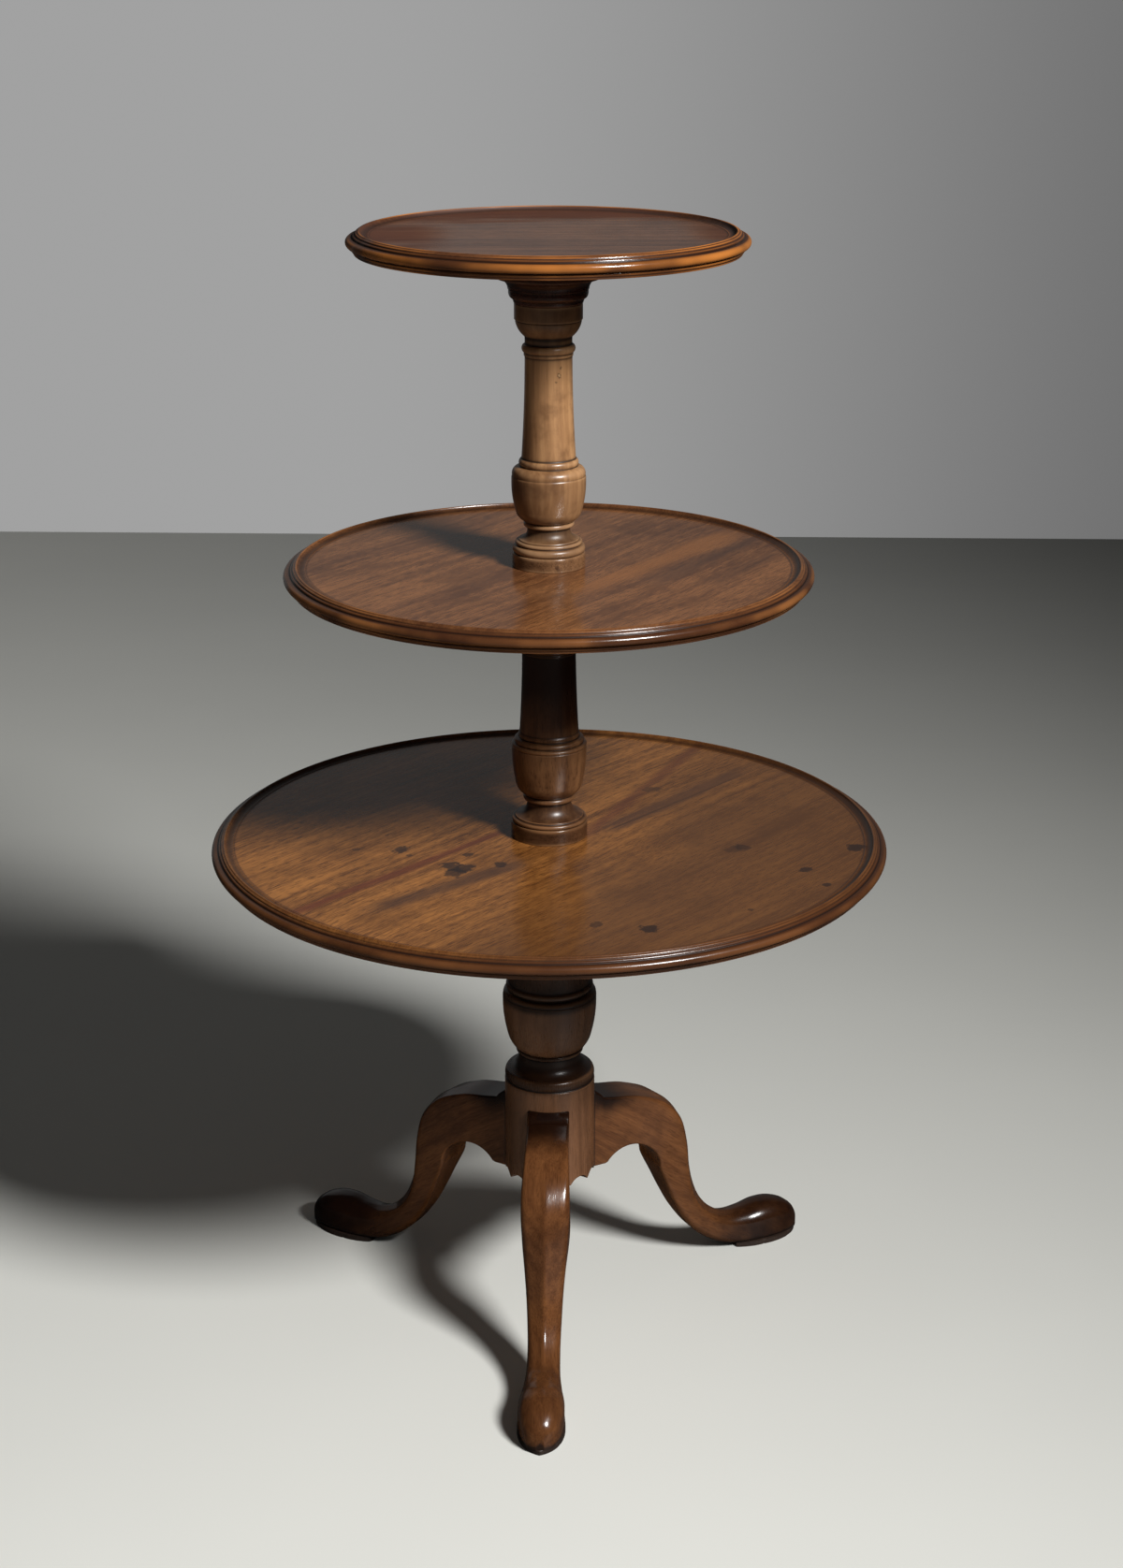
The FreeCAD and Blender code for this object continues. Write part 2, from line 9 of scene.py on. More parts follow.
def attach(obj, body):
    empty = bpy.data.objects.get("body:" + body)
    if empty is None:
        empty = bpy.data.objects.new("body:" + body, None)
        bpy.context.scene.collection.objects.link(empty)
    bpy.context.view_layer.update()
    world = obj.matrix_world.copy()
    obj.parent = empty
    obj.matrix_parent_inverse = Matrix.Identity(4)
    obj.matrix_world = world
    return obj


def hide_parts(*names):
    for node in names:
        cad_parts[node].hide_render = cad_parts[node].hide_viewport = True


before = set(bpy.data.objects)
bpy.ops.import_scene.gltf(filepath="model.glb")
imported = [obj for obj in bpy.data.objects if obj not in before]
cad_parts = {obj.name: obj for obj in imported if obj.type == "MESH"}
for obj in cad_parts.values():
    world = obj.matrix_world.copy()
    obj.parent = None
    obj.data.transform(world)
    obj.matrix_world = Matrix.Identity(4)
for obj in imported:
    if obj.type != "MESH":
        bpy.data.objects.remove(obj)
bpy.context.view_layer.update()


# Base of the pillar: one heavy mahogany turning, a plain drum with pedestal mouldings and a cup above it.
# The drum's lower edge is cut into hollow scallops between the legs. Old polish and painted shade lie dark in the
# hollows of the mouldings, and handling has worn the beads and arrises paler.
MM = 0.001
DRUM_RADIUS = 42.0
DRUM_BOTTOM = 133.56
DRUM_TOP = 230.56
BASE_HEIGHT = 191.5
BASE_RADIUS = 43.5
BASE_TOP = DRUM_TOP + BASE_HEIGHT
SOCKET_DEPTH = 42.0
LOWER_SPIGOT = 16.0
SCALLOP_WIDTH = 18.0
SCALLOP_HEIGHT = 6.5
SCALLOP_DEPTH = 12.0
SCALLOP_ANGLE = 15.0
SCALLOP_BLEND = 24.0
TENON_REVEAL = 0.3
LEG_ANGLES = (-90.0, 30.0, 150.0)
BASE_OUTLINE = [
    (0.000, 0.966, 0), (0.003, 0.940, 0), (0.009, 0.940, 0), (0.010, 0.943, 0.13),
    (0.052, 0.933, 0), (0.055, 0.901, -0.20), (0.115, 0.667, 0), (0.141, 0.667, 0),
    (0.143, 0.680, 0.40), (0.166, 0.680, 0), (0.167, 0.713, 0.08), (0.248, 0.906, 0.034),
    (0.426, 1.000, 0), (0.444, 1.000, 0), (0.446, 0.989, 0.20), (0.475, 0.915, 0),
    (0.478, 0.894, 0.25), (0.512, 0.894, 0), (0.514, 0.883, -0.006), (0.791, 0.791, 0),
    (0.793, 0.818, 0), (0.807, 0.818, 0), (0.809, 0.832, 0.27), (0.840, 0.832, 0),
    (0.842, 0.786, 0), (0.864, 0.786, 0), (0.866, 0.800, 0.09), (0.922, 0.970, 0),
    (0.923, 0.961, 0), (0.928, 0.961, 0), (0.930, 0.989, 0), (1.000, 0.989, 0),
]


def stacked(outline, bottom, height, radius):
    """Corners (radius, level, bulge) of a turning from the shares of its outline."""
    return [(radius * r, bottom + height * h, bulge) for h, r, bulge in outline]


def core(radius, end, shoulder):
    """Corners of a plain spigot, pin or socket, from the middle of its end to its shoulder."""
    return [(0, end, 0), (radius, end, 0), (radius, shoulder, 0)]


def side_steps(start, end, bulge, step):
    """Short steps along one straight or round side of an outline, without its end."""
    start, end = np.array(start[:2]), np.array(end[:2])
    chord = end - start
    length = np.hypot(*chord)
    count = max(2, int(length * (1 + 2 * abs(bulge)) / step))
    along = np.arange(count) / count
    if not bulge:
        return start + along[:, None] * chord
    reach = 1 / (8 * abs(bulge)) + abs(bulge) / 2
    across = np.array([chord[1], -chord[0]])
    centre = (start + end) / 2 + across * (bulge - math.copysign(reach, bulge))
    swing = 2 * math.asin(min(1, 0.5 / reach)) * math.copysign(1, bulge)
    angle = math.atan2(*(start - centre)[::-1]) + along * swing
    return centre + length * reach * np.stack([np.cos(angle), np.sin(angle)], 1)


def softened(points, spread, closed):
    """Points averaged along the line with a bell of that many steps."""
    width = int(4 * spread) + 1
    bell = np.exp(-0.5 * (np.arange(-width, width + 1) / spread) ** 2)
    bell /= bell.sum()
    padded = np.pad(points, ((width, width), (0, 0)), mode="wrap" if closed else "edge")
    return np.stack([np.convolve(column, bell, "valid") for column in padded.T], 1)


def turners_line(corners, closed, wear):
    """Outline of a turning with worn arrises, close-stepped where it curves: radius, level and relief.
    Relief is how far the surface stands proud of its fine and broad surroundings, below zero in hollows."""
    step, flatness, growth = 0.12, 0.006, 0.5
    shortest, longest, last_gap = 0.25, 7.0, 0.3
    following = corners[1:] + (corners[:1] if closed else [])
    points = np.concatenate([side_steps(a, b, a[2], step) for a, b in zip(corners, following)])
    if not closed:
        points = np.concatenate([points, [corners[-1][:2]]])
    ends = points[[0, -1]]
    points = softened(points, wear / step, closed)
    if not closed:
        points[[0, -1]] = ends
    tangent = np.gradient(points, axis=0)
    tangent /= np.hypot(*tangent.T)[:, None] + 1e-9
    normal = np.stack([tangent[:, 1], -tangent[:, 0]], 1)
    relief = sum(((points - softened(points, reach / step, closed)) * normal).sum(1) * share / reach
                 for reach, share in ((1.2, 1.0), (4.5, 0.6)))
    gaps = np.hypot(*np.diff(points, axis=0).T)
    place = np.concatenate([[0], np.cumsum(gaps)])
    bend = np.hypot(*np.gradient(tangent, axis=0).T) / (np.gradient(place) + 1e-9)
    stride = np.clip(np.sqrt(8 * flatness / (bend + 1e-6)), shortest, longest)
    for order in (range(1, len(stride)), range(len(stride) - 2, -1, -1)):
        for i in order:
            back = i - 1 if order.step > 0 else i + 1
            stride[i] = min(stride[i], stride[back] + growth * abs(place[i] - place[back]))
    stops = [0.0]
    while stops[-1] + last_gap < place[-1]:
        stops.append(stops[-1] + np.interp(stops[-1], place, stride))
    if closed:
        stops.pop()
    else:
        stops[-1] = place[-1]
    columns = (points[:, 0], points[:, 1], relief)
    return np.stack([np.interp(stops, place, column) for column in columns], 1)


def node_group(name, inputs, output):
    """An empty tree of geometry nodes: the tree, and the sockets that bring in its named inputs."""
    tree = bpy.data.node_groups.new(name, "GeometryNodeTree")
    for label, kind in inputs.items():
        tree.interface.new_socket(label, in_out="INPUT", socket_type=f"NodeSocket{kind}")
    tree.interface.new_socket(output, in_out="OUTPUT", socket_type="NodeSocketGeometry")
    return tree, tree.nodes.new("NodeGroupInput").outputs


def add_node(tree, kind, sockets, output=0, **settings):
    """Adds a node with its settings and the values or links of its sockets, and gives one of its outputs."""
    node = tree.nodes.new(kind)
    for key, setting in settings.items():
        setattr(node, key, setting)
    for key, given in sockets.items():
        if isinstance(given, bpy.types.NodeSocket):
            tree.links.new(given, node.inputs[key])
        else:
            node.inputs[key].default_value = given
    return node.outputs[output]


def lathe_tree():
    """Geometry nodes that turn an outline, drawn as a chain of edges, about the pillar's axis."""
    tree, given = node_group("lathe", {
        "Outline": "Geometry", "Steps round": "Int", "Hub radius": "Float", "Wood": "Material"}, "Turning")
    outline = add_node(tree, "GeometryNodeMeshToCurve", {"Mesh": given["Outline"]})
    circle = add_node(tree, "GeometryNodeCurvePrimitiveCircle",
                      {"Resolution": given["Steps round"], "Radius": given["Hub radius"]})
    upright = add_node(tree, "GeometryNodeSetCurveNormal", {"Curve": circle}, mode="Z_UP")
    sweep = add_node(tree, "GeometryNodeCurveToMesh", {"Curve": upright, "Profile Curve": outline})
    weld = add_node(tree, "GeometryNodeMergeByDistance", {"Geometry": sweep, "Distance": 1e-6})
    smooth = add_node(tree, "GeometryNodeSetShadeSmooth", {"Geometry": weld})
    realize = add_node(tree, "GeometryNodeRealizeInstances", {"Geometry": smooth})
    finish = add_node(tree, "GeometryNodeSetMaterial", {"Geometry": realize, "Material": given["Wood"]})
    tree.links.new(finish, tree.nodes.new("NodeGroupOutput").inputs["Turning"])
    return tree


def add_object(name, data):
    piece = bpy.data.objects.new(name, data)
    bpy.context.scene.collection.objects.link(piece)
    return piece


def grown(piece, tree, values):
    """Runs a tree on a piece with values for its named inputs, and keeps the result as a plain mesh."""
    modifier = piece.modifiers.new(tree.name, "NODES")
    modifier.node_group = tree
    for item in tree.interface.items_tree:
        if item.in_out == "INPUT" and item.name in values:
            modifier[item.identifier] = values[item.name]
    depsgraph = bpy.context.evaluated_depsgraph_get()
    mesh = bpy.data.meshes.new_from_object(
        piece.evaluated_get(depsgraph), preserve_all_data_layers=True, depsgraph=depsgraph)
    mesh.name = piece.name
    piece.modifiers.remove(modifier)
    piece.data = mesh
    return piece


def face_outwards(mesh):
    shell = bmesh.new()
    shell.from_mesh(mesh)
    bmesh.ops.recalc_face_normals(shell, faces=shell.faces)
    shell.to_mesh(mesh)
    shell.free()


def turned(name, corners, wood, closed=False, steps=128, wear=0.4, shade=None):
    """A piece turned on the lathe from its corners in millimetres.
    Shade lists levels, and how dark the painted shade is at each."""
    hub = 1.0
    line = turners_line(corners, closed, wear)
    count = len(line)
    mesh = bpy.data.meshes.new(name)
    points = [((r - hub) * MM, -z * MM, 0) for r, z, relief in line]
    edges = [(i, (i + 1) % count) for i in range(count if closed else count - 1)]
    mesh.from_pydata(points, edges, [])
    mesh.attributes.new("relief", "FLOAT", "POINT").data.foreach_set("value", line[:, 2])
    if shade:
        darkness = np.interp(line[:, 1], *zip(*shade))
        mesh.attributes.new("shade", "FLOAT", "POINT").data.foreach_set("value", darkness)
    piece = grown(add_object(name, mesh), lathe,
                  {"Steps round": steps, "Hub radius": hub * MM, "Wood": wood})
    face_outwards(piece.data)
    return piece


class Wire:
    """A socket in a material: + - * and / between wires and numbers add Math nodes."""

    def __init__(self, tree, socket):
        self.tree = tree
        self.socket = socket

    def node(self, kind, settings, sockets, output=0):
        """Adds a node with its settings and the values or wires of its sockets."""
        sockets = {key: given.socket if isinstance(given, Wire) else given for key, given in sockets.items()}
        return Wire(self.tree, add_node(self.tree, kind, sockets, output, **settings))

    def math(self, operation, first, second=0.0):
        return self.node("ShaderNodeMath", {"operation": operation}, {0: first, 1: second})

    def __add__(self, other):
        return self.math("ADD", self, other)

    __radd__ = __add__

    def __sub__(self, other):
        return self.math("SUBTRACT", self, other)

    def __rsub__(self, other):
        return self.math("SUBTRACT", other, self)

    def __mul__(self, other):
        return self.math("MULTIPLY", self, other)

    __rmul__ = __mul__

    def __truediv__(self, other):
        return self.math("DIVIDE", self, other)

    def __rtruediv__(self, other):
        return self.math("DIVIDE", other, self)

    def rise(self, low, high):
        """Goes smoothly from 0 at low to 1 at high, and stays there."""
        return self.node("ShaderNodeMapRange", {"interpolation_type": "SMOOTHSTEP"},
                         {"Value": self, "From Min": low, "From Max": high})

    def mapped(self, turn=(0, 0, 0), scale=(1, 1, 1), shift=(0, 0, 0)):
        return self.node("ShaderNodeMapping", {},
                         {"Vector": self, "Location": shift, "Rotation": turn, "Scale": scale})

    def noise(self, scale, detail, rough, output=0):
        return self.node("ShaderNodeTexNoise", {},
                         {"Vector": self, "Scale": scale, "Detail": detail, "Roughness": rough}, output)

    def between(self, first, second):
        """Colour that goes from the first to the second as this goes from 0 to 1."""
        return self.node("ShaderNodeMix", {"data_type": "RGBA"}, {0: self, 6: rgba(first), 7: rgba(second)}, 2)

    def tinted(self, amount, colour):
        """This colour with another laid over it."""
        return self.node("ShaderNodeMix", {"data_type": "RGBA"}, {0: amount, 6: self, 7: rgba(colour)}, 2)

    def split(self):
        """Its x, y and z."""
        parted = self.node("ShaderNodeSeparateXYZ", {}, {0: self}).socket.node
        return [Wire(self.tree, socket) for socket in parted.outputs]

    def moved(self, other, operation="ADD"):
        return self.node("ShaderNodeVectorMath", {"operation": operation}, {0: self, 1: other})


def rgba(colour):
    return (*colour, 1.0)


def new_material(name):
    """A material with its tree and its shader."""
    material = bpy.data.materials.new(name)
    material.use_nodes = True
    return material, material.node_tree, material.node_tree.nodes["Principled BSDF"]


def own_place(tree):
    return Wire(tree, tree.nodes.new("ShaderNodeTexCoord").outputs["Object"])


def attribute(tree, name, output="Fac"):
    return Wire(tree, add_node(tree, "ShaderNodeAttribute", {}, output, attribute_name=name))


DIRT_AND_SHADE_TONE = (0.008, 0.004, 0.003)
DIRT_AND_SHADE_SHARE = 0.85


def mahogany(name, pale, deep, turn=(0, 0, 0), shift=(0, 0, 0), source=None, figure=0.35, gloss=0.24,
             worn=(0.34, 0.15, 0.055), wear=0.6, fleck=1.2, pore=0.55, mottle=0.45, patch=11.0,
             dark=None, marks=None):
    """Old polished mahogany, its grain along x once turned: bands, ribbon figure, pores, dirt and wear, with dirt
    and painted shade dark in the hollows. The grain follows the attribute named as source, or else the piece's own
    coordinates. Where dark is given, the colour goes to that tone with the piece's painted shade."""
    wood, tree, shader = new_material(name)
    place = attribute(tree, source, "Vector") if source else own_place(tree)
    relief = attribute(tree, "relief")

    # the grain wanders slowly, so every pattern below bends with it
    grain = place.mapped(turn=turn, shift=shift)
    wander = grain.noise(3.2, 1.0, 0.4, output=1).moved((0.5, 0.5, 0.5), "SUBTRACT")
    wander = wander.moved((0.0, 0.035, 0.035), "MULTIPLY")
    bent = grain.moved(wander)
    bands = bent.mapped(scale=(0.9, 15, 15)).noise(1.0, 4.0, 0.62)
    stripe = bent.mapped(scale=(4, 130, 130)).noise(1.0, 3.0, 0.6)
    fibre = bent.mapped(scale=(70, 860, 860)).noise(1.0, 3.0, 0.65)
    ribbon = bent.mapped(scale=(16, 5, 5)).noise(1.0, 2.0, 0.5)
    pores = bent.mapped(scale=(90, 1000, 1000)).noise(1.0, 1.0, 0.4).rise(0.58, 0.70)
    blotch = place.noise(patch, 4.0, 0.6)

    tone = (bands - 0.5) * 1.3 + (stripe - 0.5) * 1.1 + (fibre - 0.5) * fleck + (ribbon - 0.5) * figure + 0.5
    colour = tone.rise(0.0, 1.0).between(deep, pale)
    colour = colour.tinted(pores * pore, [c * 0.3 for c in deep])
    colour = colour.tinted(blotch.rise(0.46, 0.70) * mottle, [c * 0.75 for c in deep])
    # painted shade: the colour goes dark where the shade attribute marks shade under the trays, in hollows and on
    # feet
    if dark:
        shade = attribute(tree, "shade")
        colour = colour.tinted((shade + (blotch - 0.5) * 0.8 * shade).rise(0.0, 1.0) * 0.96, dark)
    rough = gloss + (fibre - 0.5) * 0.10 + (blotch - 0.5) * 0.14
    if marks:
        colour, rough = marks(colour, rough, place, grain)

    # dirt and painted shade: the hollows of the mouldings go dark, as old polish and as the shade that falls there
    hollow = (relief * -1.0).rise(0.02, 0.26)
    proud = relief.rise(0.06, 0.30) * place.noise(11.0, 2.5, 0.55).rise(0.36, 0.66)
    colour = colour.tinted(proud * wear, worn).tinted(hollow * DIRT_AND_SHADE_SHARE, DIRT_AND_SHADE_TONE)
    rough = rough + hollow * 0.15
    # the plane left the surface a little wavy, and the fibres and pores show through the polish: heights in metres
    ripple = place.noise(14.0, 2.0, 0.5) * 0.00030 + place.noise(70.0, 2.0, 0.5) * 0.00004
    height = ripple + (fibre - 0.5) * 0.000016 - pores * 0.000012
    bump = height.node("ShaderNodeBump", {}, {"Strength": 1.0, "Distance": 1.0, "Height": height})
    tree.links.new(colour.socket, shader.inputs["Base Color"])
    tree.links.new(rough.socket, shader.inputs["Roughness"])
    tree.links.new(bump.socket, shader.inputs["Normal"])
    shader.inputs["IOR"].default_value = 1.5
    return wood


def cut_scallops(mesh):
    """Raises the drum's lower edge into two hollow scallops between each pair of legs."""
    count = len(mesh.vertices)
    spots = np.empty(count * 3)
    mesh.vertices.foreach_get("co", spots)
    spots = spots.reshape(-1, 3) / MM
    reach = np.hypot(spots[:, 0], spots[:, 1])
    drop = (SCALLOP_WIDTH ** 2 / 4 - SCALLOP_HEIGHT ** 2) / (2 * SCALLOP_HEIGHT)
    round_radius = drop + SCALLOP_HEIGHT
    angle = np.degrees(np.arctan2(spots[:, 1], spots[:, 0]))
    lift = np.zeros(count)
    for leg_angle in LEG_ANGLES:
        for hand in (-1, 1):
            away = (angle - leg_angle - 180 - hand * SCALLOP_ANGLE + 180) % 360 - 180
            across = np.radians(away) * (DRUM_RADIUS - SCALLOP_DEPTH / 2)
            inside = np.abs(across) < SCALLOP_WIDTH / 2
            arc = np.sqrt(np.maximum(round_radius ** 2 - across ** 2, 0)) - drop
            lift = np.where(inside, np.maximum(lift, arc), lift)
    above = spots[:, 2] - DRUM_BOTTOM
    edge = (reach > DRUM_RADIUS - SCALLOP_DEPTH) & (above < SCALLOP_BLEND)
    spots[:, 2] += np.where(edge, lift * (1 - np.clip(above, 0, None) / SCALLOP_BLEND), 0)
    mesh.vertices.foreach_set("co", (spots * MM).ravel())
    mesh.update()


lathe = lathe_tree()
UPRIGHT = (0, math.radians(90), 0)
# painted shade on the base: dark in the cove and below the upper mouldings, and fully dark under the lower tray
BASE_SHADE = [
    (227, 0), (232, 0.75), (241, 0.8), (262, 0.85), (266, 0.15), (308, 0), (315, 0.85), (329, 0.8), (345, 0.6),
    (400, 1),
]
SCALLOP_EDGE = 0.5
base_wood = mahogany("base_mahogany", (0.190, 0.086, 0.040), (0.082, 0.035, 0.016), turn=UPRIGHT,
                     gloss=0.28, worn=(0.24, 0.12, 0.06), fleck=0.35, pore=0.3, dark=(0.012, 0.005, 0.003))
flat = DRUM_BOTTOM + TENON_REVEAL
base_corners = [(0, flat, 0), (DRUM_RADIUS - SCALLOP_DEPTH - SCALLOP_EDGE, flat, 0),
                (DRUM_RADIUS - SCALLOP_DEPTH + SCALLOP_EDGE, flat, 0), (DRUM_RADIUS, flat, 0)]
base_corners += stacked(BASE_OUTLINE, DRUM_TOP, BASE_HEIGHT, BASE_RADIUS)
base_corners += core(LOWER_SPIGOT, BASE_TOP - SOCKET_DEPTH, BASE_TOP)[::-1]
base = turned("pillar_base", base_corners, base_wood, steps=180, shade=BASE_SHADE)
cut_scallops(base.data)
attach(base, "stand")
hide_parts("base_column")


# Legs: three cabriole legs, each sawn and carved from one mahogany board, with a rounded knee, a ridge down
# the calf, a thin ankle and a pad foot. The hollow end is scribed to the drum and a dovetail is glued up into it.
LEG_NAMES = ("front", "right", "left")
# painted shade on each foot: least on the lit front leg, most on the shaded left leg
FOOT_PAINTED_SHADES = (0.3, 0.8, 1.0)
# outer reach and level, inner reach and level, width, outer and inner corner radius, fall from the ridge
LEG_STATIONS = [
    (30.1, 207.6, 30.1, 133.6, 39.0, 2.3, 2.0, 0.00), (60.0, 201.3, 60.0, 133.6, 39.0, 2.3, 2.0, 0.00),
    (90.1, 195.6, 84.0, 132.9, 40.1, 2.8, 2.0, 0.02), (116.1, 185.5, 96.0, 135.0, 43.0, 4.7, 2.2, 0.10),
    (135.6, 166.9, 106.0, 124.1, 44.5, 7.6, 2.7, 0.22), (146.5, 140.5, 112.4, 109.5, 41.8, 8.8, 2.9, 0.37),
    (152.9, 109.9, 119.1, 94.5, 37.5, 8.6, 3.7, 0.50), (158.5, 82.9, 126.9, 76.6, 33.8, 8.1, 4.7, 0.57),
    (168.0, 59.9, 139.5, 52.5, 31.0, 8.1, 6.2, 0.56), (183.0, 44.1, 158.5, 28.1, 29.5, 8.9, 8.3, 0.46),
    (200.0, 36.9, 181.1, 11.4, 31.0, 11.2, 9.3, 0.28), (217.6, 36.9, 205.1, 3.4, 35.5, 14.9, 8.9, 0.12),
    (236.0, 39.7, 232.1, 2.3, 41.0, 18.4, 8.2, 0.04), (255.0, 37.3, 255.0, 2.3, 39.0, 17.9, 7.8, 0.00),
    (268.1, 31.4, 268.1, 2.3, 31.0, 14.3, 6.2, 0.00), (275.9, 23.4, 275.9, 2.3, 20.0, 9.2, 4.0, 0.00),
    (279.0, 15.0, 279.0, 3.2, 8.0, 3.5, 1.6, 0.00),
]
ARCH_CENTRE = (78.0, 115.0)
ARCH_RADIUS = 32.0
SWEEP_LENGTH = 10.5
SWEEP_HEIGHT = 14.0
SWEEP_SEAT = 201.3
SWEEP_CURVE = 1.9
SHOE_HEIGHT = 5.0
LEG_SECTIONS = 150
SCRIBED_RINGS = (0.0, 0.7, 1.5)
RIDGE_HALF = 1.6
FULL_RIDGE = 0.3
SHARP_ROUND = 3.0
EDGE_RELIEF = 0.13
SEAM_RELIEF = 0.5
ROOT_DIRT = 0.6
SOLE_DIRT = 2.5
KNEE_SHADE_END = 98.0
KNEE_SHADE_FADE = 42.0
FOOT_SHADE_START = 135.0
FOOT_SHADE_FADE = 85.0
LEG_CREASE = math.radians(50)
TENON = {"inner": 26.0, "outer": 44.0, "neck": 9.0, "tail": 13.0, "top": 199.5}
GRAIN_SLOPE = math.radians(34)


def flowing(table, count):
    """Rows spread evenly along a smooth line through the rows of a table."""
    table = np.array(table)
    middle = (table[:, :2] + table[:, 2:4]) / 2
    place = np.concatenate([[0], np.cumsum(np.hypot(*np.diff(middle, axis=0).T))])
    slope = np.gradient(table, place, axis=0)
    spots = np.linspace(0, place[-1], count)
    index = np.clip(np.searchsorted(place, spots, "right") - 1, 0, len(place) - 2)
    span = (place[index + 1] - place[index])[:, None]
    t = (spots - place[index])[:, None] / span
    return ((2 * t ** 3 - 3 * t ** 2 + 1) * table[index] + (t ** 3 - 2 * t ** 2 + t) * span * slope[index]
            + (3 * t ** 2 - 2 * t ** 3) * table[index + 1] + (t ** 3 - t ** 2) * span * slope[index + 1])


def leg_ring(width, depth, outer_round, inner_round, fall):
    """Section with round corners and a ridge along its outer face: across, up and how sharp it is there."""
    corner_steps, flat_steps = 8, 5
    half = width / 2
    lean = math.atan(fall)
    fullest = min(half * 0.98, depth * 0.48)
    outer_round, inner_round = min(outer_round, fullest), min(inner_round, fullest)
    shoulder = depth - fall * (half - outer_round * (1 - math.sin(lean))) - outer_round * math.cos(lean)
    ridge_half = min(RIDGE_HALF, (half - outer_round) * 0.6 + 0.2)
    side = []
    for centre, radius, first, last in (((half - inner_round, inner_round), inner_round, -90, 0),
                                        ((half - outer_round, shoulder), outer_round, 0, 90 - math.degrees(lean))):
        for k in range(corner_steps + 1):
            turn = math.radians(first + (last - first) * k / corner_steps)
            sharp = math.sin(math.pi * k / corner_steps) * min(1, SHARP_ROUND / radius)
            side.append((centre[0] + radius * math.cos(turn), centre[1] + radius * math.sin(turn), sharp))
    # the worn crest, then the straight runs between corners
    ridge = min(1, fall / FULL_RIDGE)
    crest = (0, depth - fall * ridge_half * 0.35, 0.45 * ridge)
    edge = (ridge_half, depth - fall * ridge_half, 0.15 * ridge)
    shares = [k / (flat_steps + 1) for k in range(1, flat_steps + 1)]
    half_ring = side[:corner_steps + 1]
    for start, end in ((side[corner_steps], side[corner_steps + 1]), (side[-1], edge)):
        half_ring += [(start[0] + (end[0] - start[0]) * share, start[1] + (end[1] - start[1]) * share, 0)
                      for share in shares]
        if end is not edge:
            half_ring += side[corner_steps + 1:]
    half_ring.append(edge)
    mirrored = [(-across, up, sharp) for across, up, sharp in reversed(half_ring)]
    first = half_ring[0][0]
    sole = [(-first + 2 * first * share, 0, 0) for share in shares]
    return half_ring + [crest] + mirrored + sole


def out_of_arch(outer, inner):
    """Moves an inner point up its section until it clears the round arch below the knee."""
    along = outer - inner
    along /= np.hypot(*along)
    offset = inner - np.array(ARCH_CENTRE)
    forward = offset @ along
    spare = forward ** 2 - offset @ offset + ARCH_RADIUS ** 2
    if spare <= 0:
        return inner
    return inner + along * max(0, -forward + math.sqrt(spare))


